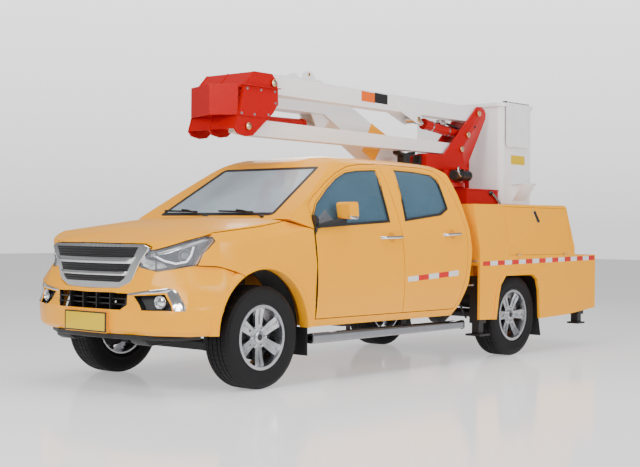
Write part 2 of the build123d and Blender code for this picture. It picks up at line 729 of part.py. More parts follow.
box_section = [
    (box_half, 300), (box_half, crease_z), (box_top_y, 1418), (box_top_y - 24, box_top_z),
    (box_inner_y, box_top_z), (box_inner_y, box_floor_z), (box_half - 225, box_floor_z),
    (box_half - 225, 300),
]
inner_top_z = box_top_z - box_wall - box_drop
inner_section = [
    (box_half - box_wall, crease_z - 3), (box_top_y - box_wall, 1385), (box_top_y - 40, inner_top_z),
    (box_inner_y + box_wall, inner_top_z), (box_inner_y + box_wall, box_floor_z + box_wall),
    (box_half - box_wall, box_floor_z + box_wall),
]
skirt_section = [
    (box_half - box_wall, 200), (box_half - box_wall, box_floor_z), (600, box_floor_z), (600, 200),
]
arch_outline = [
    (rear_arch_rear, 300), (rear_arch_rear + 24, 609), (rear_arch_rear + 64, 712),
    (rear_arch_rear + 142, rear_arch_z),
    (rear_arch_front - 167, rear_arch_z), (rear_arch_front - 84, 679), (rear_arch_front - 53, 583),
    (rear_arch_front, 300),
]
box_side = [
    (box_front_x, 372), (box_front_x, box_top_z - box_drop), (box_rear_x + box_lean, box_top_z),
    (box_rear_x, crease_z), (box_rear_x, deck_z), (body_rear_x, deck_z), (body_rear_x, 397), (-2380, 350),
    (rear_arch_rear, 335), (rear_arch_front, 364),
]
inner_side = [
    (box_front_x - box_wall, box_floor_z), (box_front_x - box_wall, box_top_z),
    (box_rear_x + box_lean + box_wall, box_top_z), (box_rear_x + box_wall, crease_z),
    (box_rear_x + box_wall, box_floor_z),
]
service = plate_x(box_section, body_rear_x, box_front_x) & plate_y(box_side, 400, 1000)
service = service - (plate_x(inner_section, box_rear_x, box_front_x) & plate_y(inner_side, 400, 1000))
# the skirt is hollow below, and open to the front
service = service - plate_x(skirt_section, wheel_well_front + box_wall, box_front_x + 1)
service = service - plate_x(skirt_section, body_rear_x + box_wall, wheel_well_rear - box_wall)
service = service - block(
    wheel_well_rear, wheel_well_front, 600, box_half - box_wall, 200, box_floor_z - box_wall,
)
service = service - plate_y(arch_outline, 600, 1000)
arch_lip = offset(polygon(arch_outline), amount=48, kind=Kind.INTERSECTION) - polygon(arch_outline)
arch_lip = extrude(Plane.XZ.offset(-box_half - 8) * arch_lip, amount=18)
lip_zone = block(rear_arch_rear + 57, rear_arch_front + 48, 800, 1000, 364, box_floor_z)
service = service + (arch_lip & lip_zone)
lid_outline = [
    (lid_front_x, lid_low_z), (lid_rear_x + 56, lid_low_z), (lid_rear_x, lid_low_z + 52),
    (lid_rear_x, lid_high_z), (lid_front_x, lid_high_z),
]
lid = service & plate_y(lid_outline, 700, 1000)
service = service - extrude(Plane.XZ.offset(-1000) * grown(lid_outline, lid_gap), amount=300)
# hinge knuckles outside the skin: one on the lid between two on the box
hinge_y = box_half + hinge_out
hinge_z = lid_low_z - lid_gap / 2
for x in hinge_xs:
    lid = lid + rod((x - 11.7, hinge_y, hinge_z), (x + 11.7, hinge_y, hinge_z), hinge_r)
    lid = lid + block(x - 11.7, x + 11.7, box_half - 5, hinge_y, hinge_z + 2, hinge_z + hinge_r)
    for x0, x1 in ((x - 30, x - 12), (x + 12, x + 30)):
        service = service + rod((x0, hinge_y, hinge_z), (x1, hinge_y, hinge_z), hinge_r)
        service = service + block(x0, x1, box_half - 5, hinge_y, hinge_z - hinge_r, hinge_z - 2)
for side, body, door in zip(("left", "right"), both_sides(service), both_sides(lid)):
    save(f"service_box_{side}", body)
    save(f"box_lid_{side}", door)

# Deck between the boxes, with the rear panel and its lamps
deck_under = deck_z - 20
deck = block(body_rear_x, box_front_x, -box_inner_y, box_inner_y, deck_under, deck_z)
panel_x = body_rear_x + lamp_depth
deck = deck + block(panel_x, panel_x + 25, seat_gap - 700, 700 - seat_gap, 560, box_floor_z - seat_gap)
deck = deck + block(panel_x, panel_x + 25, -box_inner_y, box_inner_y, 840, deck_under)
deck = deck + block(box_front_x - 25, box_front_x, -box_inner_y, box_inner_y, box_floor_z, deck_under)
column_gap = column_r + 2
deck = deck - block(slew_x - column_gap, slew_x + column_gap, -column_gap, column_gap, 800, 1000)
for x in (-1120, -2060, -2600):
    for y in (-rail_y, rail_y):
        deck = deck + block(x - 30, x + 30, y - 30, y + 30, rail_top_z, deck_under)
save("rear_deck", deck)

# Mudflaps behind the wheels
flap_t = 8
flap_front = block(1529, 1529 + flap_t, 700, 905, 215, sill_z - seat_gap)
liner = rod((front_axle_x, 560, arch_z), (front_axle_x, 800, arch_z), arch_r + 14)
liner = liner - rod((front_axle_x, 550, arch_z), (front_axle_x, 810, arch_z), arch_r + 8)
flap_front = flap_front + (liner & block(front_axle_x - 500, front_axle_x + 500, 550, 810, arch_z, 1000))
flap_x = wheel_well_rear + seat_gap
flap_rear = plate_y([
    (flap_x, 740), (flap_x, 330), (flap_x - 37, 165), (flap_x - 37 + flap_t, 165), (flap_x + flap_t, 330),
    (flap_x + flap_t, 740),
], 660, box_half - box_wall - seat_gap)
save("mudflaps", *both_sides(flap_front), *both_sides(flap_rear))

# Pedestal: column, slewing ring seat and control box
pedestal = block(slew_x - column_r, slew_x + column_r, -column_r, column_r, pedestal_low_z, ring_low_z)
pedestal = pedestal + block(slew_x - 280, slew_x + 280, -430, 430, pedestal_low_z, pedestal_low_z + 18)
pedestal = pedestal + rod((slew_x, 0, ring_low_z), (slew_x, 0, ring_high_z), slew_ring_r)
control = block(-2050, -1491, 90, 300, 1290, 1588) + block(-2124, -2050, 90, 235, 1290, 1574)
pedestal = pedestal + control
save("pedestal", pedestal)

# Boom rest: an arm from the turret's front box, with a saddle under the levelling link
turret_front_x = -1090
turret_top_z = 1922
rest = plate_y([
    (turret_front_x + seat_gap, 1797), (turret_front_x + seat_gap, 1900), (-1074, 1900), (-1052, 1823),
    (-905, 1823), (-905, 1880), (-985, 1900), (-985, 1930), (-977, 1930), (-962, 1912), (-768, 1912),
    (-753, 1930), (-745, 1930), (-745, 1900), (-815, 1880), (-815, 1797),
], -45, 45)
save("boom_rest", rest)

# Turret

turret_outline = [
    (-1963, 2439), (-2047, 2441), (-2100, 2410), (-2119, 2372), (-2114, 2325), (-1753, turret_base_z),
    (-1380, turret_base_z), (-1378, turret_top_z),
]
ring_seat_z = ring_high_z + seat_gap
turret = rod((slew_x, 0, ring_seat_z), (slew_x, 0, turret_base_z), slew_ring_r - 25)
floor_top_z = turret_base_z + 20
turret = turret + block(-1753, turret_front_x, -turret_plate_y, turret_plate_y, turret_base_z, floor_top_z)
turret = turret + block(-1530, -1420, 0, 290, turret_base_z, floor_top_z)
turret = turret + plate_y([
    (-1380, floor_top_z), (-1380, turret_top_z), (turret_front_x - 34, turret_top_z),
    (turret_front_x - 10, turret_top_z - 10), (turret_front_x, turret_top_z - 34),
    (turret_front_x, floor_top_z),
], -turret_plate_y, turret_plate_y)
for half in both_sides(plate_y(turret_outline, turret_plate_y - turret_plate_t, turret_plate_y)):
    turret = turret + half
pin_end = turret_plate_y + 12
for place in (arm_pin, lift_base_pin, link_base_pin):
    turret = turret + pin_y(place, pin_r, -pin_end, pin_end)
save("turret", turret)
motor = rod((-1571, 255, 1716), (-1317, 255, 1716), 49)
gearbox = block(-1500, -1440, slew_ring_r - 15, 255, 1662, turret_base_z - seat_gap)
save("slew_drive", motor + gearbox)


def beam_y(points, width, wall, y=0):
    """Hollow box beam from a side-view outline."""
    outer = plate_y(points, y - width / 2, y + width / 2)
    inner_face = offset(polygon(points), amount=-wall, kind=Kind.INTERSECTION)
    inner = extrude(Plane.XZ.offset(-(y + width / 2 - wall)) * inner_face, amount=width - 2 * wall)
    return outer - inner


def bore(part, place, radius, y0=-600, y1=600):
    return part - pin_y(place, radius, y0, y1)


def boss(place, radius, y0, y1):
    return pin_y(place, radius, y0, y1)


# Main arm
arm_low = arm_pin[1] - 86
arm_outline = [
    (arm_pin[0] - 60, arm_pin[1] - 50), (arm_pin[0] - 60, arm_pin[1] + 50),
    (arm_pin[0] + 10, arm_pin[1] + 64),
    (elbow_pin[0] - 30, elbow_pin[1] + 70), (elbow_pin[0] + 60, elbow_pin[1] + 50),
    (elbow_pin[0] + 60, elbow_pin[1] - 50), (elbow_pin[0] - 30, elbow_pin[1] - 84),
    (arm_pin[0] + 30, arm_low),
]
arm = beam_y(arm_outline, arm_w, arm_wall)
for place in (arm_pin, elbow_pin):
    arm = arm + boss(place, pin_r + 22, -arm_w / 2, arm_w / 2)
gusset = [(-681, 2300), (-681, 2395), (-1062, 2399), (-1020, 2250), (-1000, 2200), (-962, 2200)]
for y0, y1 in ((arm_w / 2, arm_w / 2 + 8), (-arm_w / 2 - 8, -arm_w / 2)):
    arm = arm + plate_y(gusset, y0, y1)
for half in both_sides(pin_y(lift_lug_pin, pin_r, eye_half + 1, arm_w / 2 + 4)):
    arm = arm + half
arm = bore(arm, arm_pin, pin_r + pin_gap)
arm = bore(arm, elbow_pin, pin_r + pin_gap)
save("main_arm", arm)

# Levelling link under the main arm
link_outline = [
    (link_base_pin[0] - 60, link_base_pin[1] - 50), (link_base_pin[0] - 60, link_base_pin[1] + 50),
    (link_base_pin[0] + 120, link_base_pin[1] + 54), (link_elbow_pin[0] - 274, link_elbow_pin[1] + 67),
    (link_elbow_pin[0] + 56, link_elbow_pin[1] + 46), (link_elbow_pin[0] + 56, link_elbow_pin[1] - 50),
    (link_elbow_pin[0] - 126, link_elbow_pin[1] - 68), (link_base_pin[0] + 253, link_base_pin[1] - 56),
]
link = beam_y(link_outline, link_w, arm_wall)
for place in (link_base_pin, link_elbow_pin):
    link = link + boss(place, pin_r + 22, -link_w / 2, link_w / 2)
    link = bore(link, place, pin_r + pin_gap)
save("levelling_link", link)


def along(base, far, distance, y):
    """Point at a distance from one (x, z) pin towards another."""
    length = hypot(far[0] - base[0], far[1] - base[1])
    share = distance / length
    return (base[0] + share * (far[0] - base[0]), y, base[1] + share * (far[1] - base[1]))


def cylinder(base, far, y, barrel_r, rod_r, barrel_len):
    """Barrel on its base pin, and a rod whose eye stands between the lugs of the far pin."""
    length = hypot(far[0] - base[0], far[1] - base[1])
    barrel = rod(along(base, far, 34, y), along(base, far, barrel_len, y), barrel_r)
    barrel = barrel + pin_y(base, pin_r + 24, y - eye_half, y + eye_half)
    barrel = barrel - pin_y(base, pin_r + pin_gap, y - 200, y + 200)
    barrel = barrel - rod(along(base, far, 120, y), along(base, far, barrel_len + 1, y), rod_r + 0.5)
    barrel = barrel + (
        rod(along(base, far, barrel_len - 40, y), along(base, far, barrel_len, y), barrel_r + 6)
        - rod(along(base, far, barrel_len - 41, y), along(base, far, barrel_len + 1, y), rod_r + 0.5)
    )
    shaft = rod(along(base, far, 140, y), along(base, far, length - 20, y), rod_r)
    shaft = shaft + pin_y(far, eye_r, y - eye_half, y + eye_half)
    return barrel, shaft


# Lift cylinder between turret and main arm
lift_barrel, lift_rod = cylinder(lift_base_pin, lift_lug_pin, 0, 48, 28, 620)
save("lift_barrel", lift_barrel)
save("lift_rod", lift_rod)

# Elbow: plates round the arm, the link and the upper boom
elbow_outline = [
    (1307, 2465), (1084, 2464), (1022, 2395), (1018, 2216), (1068, 2141), (1311, 1939), (1392, 1927),
    (1484, 1944), (1519, 1982), (1475, 2118), (1425, 2342),
]
fold_ear = [(1110, 2220), (930, 2180), (846, 2152), (832, 2120), (846, 2086), (880, 2072), (1120, 2072)]
elbow = plate_y(elbow_outline, elbow_near_y - elbow_t, elbow_near_y)
for y0 in (elbow_mid_y, elbow_far_y):
    elbow = elbow + plate_y(elbow_outline, y0 - elbow_t, y0) + plate_y(fold_ear, y0 - elbow_t, y0)
elbow_inner_y = elbow_near_y - elbow_t
elbow = elbow + pin_y(elbow_pin, pin_r, elbow_far_y - 28, elbow_near_y + 12)
elbow = elbow + pin_y(link_elbow_pin, pin_r, elbow_mid_y - elbow_t, elbow_near_y + 12)
elbow = elbow + pin_y(fold_base_pin, pin_r, elbow_far_y - elbow_t, elbow_mid_y)
# slanted covers above and below the nose, and the bolted cover on the near plate
for outline in (
    [(1304, 2463), (1416, 2346), (1408, 2346), (1300, 2459)],
    [(1479, 2095), (1515, 1985), (1507, 1985), (1471, 2095)],
):
    elbow = elbow + plate_y(outline, elbow_far_y, elbow_inner_y)
near_cover = [(1022, 2341), (1018, 2212), (1136, 2092), (1478, 2092), (1420, 2341)]
elbow = elbow + plate_y(near_cover, elbow_near_y, elbow_near_y + 6)
snout_plan = [
    (1307, elbow_far_y), (1307, elbow_inner_y), (1466, elbow_inner_y), (1606, -100), (1486, elbow_far_y),
]
for z0, z1 in ((2325, 2341), (2100, 2116)):
    elbow = elbow + plate_z(snout_plan, z0, z1)
save("elbow", elbow)
wrap = grown(snout_plan, 12) - grown(snout_plan, seat_gap)
wrap_zone = block(1400, 1700, elbow_far_y + seat_gap, elbow_inner_y - seat_gap, 2096, 2345)
save("elbow_cover", extrude(Plane.XY.offset(2096) * wrap, amount=249) & wrap_zone)

# Upper boom: level root, straight run down and level tip
boom_outline = [
    (1075, 2482), (640, 2526), (95, 2529), (-1590, 1746), (-2040, 1746), (-2128, 1700), (-2128, 1640),
    (-2060, 1600), (-1150, 1600), (-426, 1980), (45, 2229), (700, 2232), (1060, 2292), (1165, 2340),
    (1165, 2430),
]
boom = beam_y(boom_outline, boom_w, arm_wall, boom_y)
for place in (elbow_pin, bucket_pin):
    boom = boom + pin_y(place, pin_r + 22, boom_y - boom_w / 2, boom_y + boom_w / 2)
    boom = bore(boom, place, pin_r + pin_gap)
fold_lug = [(210, 2240), (180, 2200), (112, 2096), (61, 2084), (20, 2100), (-60, 2180), (-60, 2240)]
crest = [(330, 2520), (328, 2570), (300, 2592), (225, 2600), (150, 2520)]
for sign in (-1, 1):
    near, far = boom_y + sign * (eye_half + 10), boom_y + sign * (eye_half + 24)
    boom = boom + plate_y(fold_lug, min(near, far), max(near, far))
    boss_y = sorted((boom_y + sign * (eye_half + 1), far))
    boom = boom + pin_y(fold_lug_pin, pin_r, *boss_y)
    crest_y = sorted((boom_y + sign * (boom_w / 2 - 20), boom_y + sign * boom_w / 2))
    boom = boom + plate_y(crest, *crest_y)
save("upper_boom", boom)

fold_barrel, fold_rod = cylinder(fold_base_pin, fold_lug_pin, boom_y, 44, 26, 650)
save("fold_barrel", fold_barrel)
save("fold_rod", fold_rod)

# Bucket and its carrier
x0, x1 = bucket_x
y0, y1 = bucket_y
z0, z1 = bucket_z
bucket_plan = Pos((x0 + x1) / 2, (y0 + y1) / 2) * RectangleRounded(x1 - x0, y1 - y0, 60)
rim_plan = offset(bucket_plan, amount=20)
bucket = extrude(Plane.XY.offset(z0) * bucket_plan, amount=z1 - z0)
bucket = bucket + extrude(Plane.XY.offset(z1 - 40) * rim_plan, amount=40)
bucket_inside = offset(bucket_plan, amount=-bucket_wall)
bucket = bucket - extrude(Plane.XY.offset(z0 + bucket_wall) * bucket_inside, amount=z1 - z0)
save("bucket", bucket)
boom_side = boom_w / 2 + 5
carrier_ears = (
    (boom_y - boom_side - elbow_t, boom_y - boom_side), (boom_y + boom_side, boom_y + boom_side + elbow_t),
)
carrier = block(x1, x1 + 14, boom_y - 180, boom_y + 180, 1480, 2000)
ear_outline = [(x1 + 14, 1600), (x1 + 14, 1900), (-2030, 1720), (-2010, 1672), (-2030, 1630)]
for y_low, y_high in carrier_ears:
    carrier = carrier + plate_y(ear_outline, y_low, y_high)
carrier = carrier + pin_y(bucket_pin, pin_r, boom_y - boom_w / 2 - 30, boom_y + boom_w / 2 + 30)
save("bucket_carrier", carrier)
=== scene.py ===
import json
from math import cos, hypot, pi, radians, sin, sqrt
import bmesh
import bpy
from mathutils import Matrix, Vector
from mathutils.bvhtree import BVHTree


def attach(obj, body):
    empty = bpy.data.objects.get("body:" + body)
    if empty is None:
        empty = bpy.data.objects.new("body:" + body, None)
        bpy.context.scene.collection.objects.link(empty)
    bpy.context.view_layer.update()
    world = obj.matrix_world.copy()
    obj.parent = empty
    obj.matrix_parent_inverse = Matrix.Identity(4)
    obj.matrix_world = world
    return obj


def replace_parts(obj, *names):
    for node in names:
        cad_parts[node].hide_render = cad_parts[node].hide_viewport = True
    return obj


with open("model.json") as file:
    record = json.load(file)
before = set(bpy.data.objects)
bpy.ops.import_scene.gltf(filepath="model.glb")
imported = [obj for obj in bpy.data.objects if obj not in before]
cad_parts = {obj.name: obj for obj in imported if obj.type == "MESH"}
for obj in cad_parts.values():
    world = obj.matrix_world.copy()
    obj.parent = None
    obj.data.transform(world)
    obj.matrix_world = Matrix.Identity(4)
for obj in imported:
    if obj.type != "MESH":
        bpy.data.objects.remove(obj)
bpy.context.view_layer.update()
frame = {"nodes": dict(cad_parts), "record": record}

mm = 0.001
sides = ((1, "left"), (-1, "right"))  # the sign of y on each side
nodes, record = frame["nodes"], frame["record"]
bodyOf = {node: body for body, members in record["behaviour"]["bodies"].items() for node in members}
slotOf = {part["node"]: part["material_slot"] for part in record["subparts"]}


# The nodes of a material, the world or a modifier; sockets are handed round
class NodeTree:
    def __init__(self, tree):
        self.tree = tree

    def put(self, socket, value):
        if isinstance(value, bpy.types.NodeSocket):
            self.tree.links.new(value, socket)
        elif socket.type == "RGBA":
            socket.default_value = (*value, 1.0)
        else:
            socket.default_value = value

    # one node of any type: its settings, then the values or links of its sockets
    def make(self, kind, settings, values, out=0):
        node = self.tree.nodes.new(kind)
        for key, value in settings.items():
            if key == "stops":
                ramp = node.color_ramp
                while len(ramp.elements) < len(value):
                    ramp.elements.new(0.5)
                for element, (place, colour) in zip(ramp.elements, value):
                    element.position, element.color = place, (*colour, 1.0)
            else:
                setattr(node, key, value)
        for key, value in values.items() if isinstance(values, dict) else enumerate(values):
            self.put(node.inputs[key], value)
        return node.outputs[out]


class Shade(NodeTree):
    def __init__(self, name, **fixed):
        self.material = bpy.data.materials.new(name)
        self.material.use_nodes = True
        super().__init__(self.material.node_tree)
        self.tree.nodes.clear()
        out = self.tree.nodes.new("ShaderNodeOutputMaterial")
        self.bsdf = self.tree.nodes.new("ShaderNodeBsdfPrincipled")
        self.tree.links.new(self.bsdf.outputs[0], out.inputs[0])
        self.wear(**fixed)

    def wear(self, **values):
        for key, value in values.items():
            self.put(self.bsdf.inputs[socketNames[key]], value)

    def noise(self, scale, detail=2.0):
        place = self.make("ShaderNodeTexCoord", {}, [], out="Object")
        return self.make("ShaderNodeTexNoise", {}, {"Vector": place, "Scale": scale, "Detail": detail})

    def mix(self, factor, first, second):
        return self.make("ShaderNodeMix", {"data_type": "RGBA"}, {0: factor, 6: first, 7: second}, out=2)

    # a pattern that sways by a span round its middle value
    def sway(self, pattern, middle, span):
        scaled = self.make("ShaderNodeMath", {"operation": "MULTIPLY"}, [pattern, span])
        return self.make("ShaderNodeMath", {"operation": "ADD"}, [scaled, middle - span / 2])

    # depth in mm
    def bump(self, height, strength, depth):
        values = {"Height": height, "Strength": strength, "Distance": depth * mm}
        self.wear(normal=self.make("ShaderNodeBump", {}, values))


socketNames = {
    "colour": "Base Color", "rough": "Roughness", "metal": "Metallic", "coat": "Coat Weight",
    "coatRough": "Coat Roughness", "alpha": "Alpha", "ior": "IOR", "glow": "Emission Color",
    "glowPower": "Emission Strength", "specular": "Specular IOR Level", "normal": "Normal",
}

# Colours are linear
colours = {
    "yellow": (1.0, 0.41, 0.0), "black": (0.008, 0.008, 0.009), "rubber": (0.007, 0.007, 0.008),
    "dust": (0.014, 0.014, 0.015), "chrome": (0.80, 0.81, 0.82),
}

# Scale per metre and detail of the noise on the finishes
patterns = {
    "cloud": (1.3, 3.0), "gloss": (40.0, 2.0), "peel": (900.0, 1.0), "scuff": (6.0, 4.0),
    "handled": (25.0, 4.0), "smear": (12.0, 5.0), "cast": (500.0, 2.0), "film": (2.0, 3.0),
    "shine": (60.0, 2.0), "dust": (9.0, 5.0), "tyreGrain": (350.0, 3.0),
}


def toned(colour, share, lift=0.0):
    return tuple(value * share + lift for value in colour)


def paint(name, colour, rough=0.3, coat=0.12):
    shade = Shade(name, coat=coat, coatRough=0.05, specular=0.18)
    cloud, gloss = shade.noise(*patterns["cloud"]), shade.noise(*patterns["gloss"])
    shade.wear(colour=shade.mix(cloud, toned(colour, 0.96), colour), rough=shade.sway(gloss, rough, 0.06))
    shade.bump(shade.noise(*patterns["peel"]), strength=0.02, depth=0.2)
    return shade.material


def plastic(name, colour, rough=0.5, grain=0.25, grainScale=700.0):
    shade = Shade(name)
    scuff, handled = shade.noise(*patterns["scuff"]), shade.noise(*patterns["handled"])
    paler = tuple(min(1.0, value) for value in toned(colour, 1.5, 0.004))
    shade.wear(colour=shade.mix(scuff, colour, paler), rough=shade.sway(handled, rough, 0.16))
    shade.bump(shade.noise(grainScale), strength=grain, depth=0.4)
    return shade.material


def metal(name, colour, rough=0.2, grain=0.0):
    shade = Shade(name, metal=1.0)
    smear = shade.noise(*patterns["smear"])
    shade.wear(colour=shade.mix(smear, colour, toned(colour, 0.8)), rough=shade.sway(smear, rough, 0.1))
    if grain:
        shade.bump(shade.noise(*patterns["cast"]), strength=grain, depth=0.3)
    return shade.material


def glass(name, colour, alpha):
    shade = Shade(name, rough=0.03, coat=1.0, coatRough=0.01, ior=1.52)
    film = shade.noise(*patterns["film"])
    shade.wear(colour=shade.mix(film, colour, toned(colour, 1.6)), alpha=shade.sway(film, alpha, 0.06))
    return shade.material


def glowing(name, colour, power):
    shade = Shade(name, rough=0.2, colour=colour, glowPower=power)
    shade.wear(glow=shade.mix(shade.noise(*patterns["shine"]), colour, toned(colour, 0.9)))
    return shade.material


def tyreRubber(name):
    shade = Shade(name, specular=0.2)
    dust = shade.noise(*patterns["dust"])
    shade.wear(colour=shade.mix(dust, colours["rubber"], colours["dust"]), rough=shade.sway(dust, 0.65, 0.2))
    shade.bump(shade.noise(*patterns["tyreGrain"]), strength=0.25, depth=0.6)
    return shade.material


# The record's slots come first, then the finishes of the small pieces
materials = {
    "body_paint": paint("yellowPaint", colours["yellow"]),
    "chassis_black": plastic("chassisBlack", colours["black"], 0.45, 0.1),
    "engine_grey": metal("engineCasting", (0.2, 0.2, 0.2), 0.6, 0.3),
    "glass_dark": glass("windowGlass", (0.05, 0.11, 0.16), 0.72),
    "lamp_clear": glass("lampLens", (0.62, 0.65, 0.70), 0.16),
    "grille_chrome": metal("grilleChrome", colours["chrome"], 0.12),
    "alloy": metal("alloySilver", (0.56, 0.57, 0.60), 0.28),
    "tyre_rubber": tyreRubber("tyreRubber"),
    "flap_rubber": plastic("flapRubber", colours["rubber"], 0.6, 0.3),
    "step_black": plastic("stepBlack", (0.02, 0.02, 0.021), 0.4, 0.2),
    "seat_fabric": plastic("seatCloth", (0.03, 0.03, 0.032), 0.9, 0.8, 300.0),
    "dash_plastic": plastic("dashPlastic", (0.025, 0.025, 0.026), 0.6, 0.4),
    "arm_white": paint("armWhite", (0.90, 0.90, 0.91), 0.35),
    "turret_red": paint("turretRed", (0.46, 0.002, 0.002), 0.33),
    "bucket_white": paint("bucketWhite", (0.93, 0.93, 0.94), 0.36, 0.2),
    "rod_chrome": metal("rodChrome", colours["chrome"], 0.1),
    "axle_steel": plastic("axleBlack", colours["black"], 0.5, 0.2),
    "motor_black": plastic("motorBlack", colours["black"], 0.4, 0.1),
    "screenGlass": glass("screenGlass", (0.36, 0.44, 0.50), 0.74),
    "brightSteel": metal("brightSteel", (0.6, 0.6, 0.61), 0.25),
    "boardSilver": metal("boardSilver", (0.36, 0.37, 0.40), 0.3),
    "lampShell": metal("lampShell", (0.10, 0.105, 0.12), 0.3),
    "lampSilver": metal("lampSilver", (0.86, 0.87, 0.9), 0.16),
    "dayLight": glowing("dayLight", (0.9, 0.93, 1.0), 0.6),
    "projectorEye": glass("projectorEye", (0.12, 0.14, 0.17), 0.85),
    "tailRed": glass("tailRed", (0.45, 0.01, 0.01), 0.9),
    "tapeWhite": paint("tapeWhite", (0.72, 0.72, 0.71), 0.3, 0.3),
    "tapeRed": paint("tapeRed", (0.62, 0.012, 0.010), 0.3, 0.3),
    "labelYellow": paint("labelYellow", (0.75, 0.5, 0.01), 0.4, 0.2),
    "signOrange": paint("signOrange", (0.8, 0.13, 0.01), 0.35, 0.3),
    "pinBrass": metal("pinBrass", (0.78, 0.56, 0.3), 0.28),
    "canvas": plastic("canvas", (0.78, 0.79, 0.8), 0.7, 0.4, 500.0),
    "yellowBand": paint("yellowBand", colours["yellow"], 0.35, 0.5),
    # darker yellow for the door handle recesses: painted shade
    "yellowPaintedShade": paint("yellowPaintedShade", (0.80, 0.29, 0.0), 0.4, 0.5),
    "mirrorGlass": metal("mirrorGlass", (0.7, 0.72, 0.75), 0.05),
}


def placed(name, data):
    thing = bpy.data.objects.new(name, data)
    bpy.context.scene.collection.objects.link(thing)
    return thing


def roundAngles(count):
    return [2 * pi * i / count for i in range(count)]


def nextOnes(outline):
    return outline[1:] + outline[:1]


def cutUp(outline, cuts):
    points = []
    for (a, b), (c, d) in zip(outline, nextOnes(outline)):
        points += [(a + (c - a) * i / cuts, b + (d - b) * i / cuts) for i in range(cuts)]
    return points


# a flat outline moved outwards by an amount
def widened(outline, amount):
    turn = sum(a * d - c * b for (a, b), (c, d) in zip(outline, nextOnes(outline)))
    way = amount if turn > 0 else -amount
    points = []
    for before, here, after in zip(outline[-1:] + outline[:-1], outline, nextOnes(outline)):
        first = (Vector(here) - Vector(before)).normalized()
        second = (Vector(after) - Vector(here)).normalized()
        normal = Vector((first.y + second.y, -first.x - second.x)).normalized()
        share = max(0.5, normal.dot(Vector((first.y, -first.x))))  # keeps a sharp corner from running far out
        points.append((here[0] + normal.x * way / share, here[1] + normal.y * way / share))
    return points


# How a flat mark lies on a side: height above the skin, thickness and mesh
sticker = {"proud": 1.2, "thick": 3, "layers": 1, "cuts": 3}


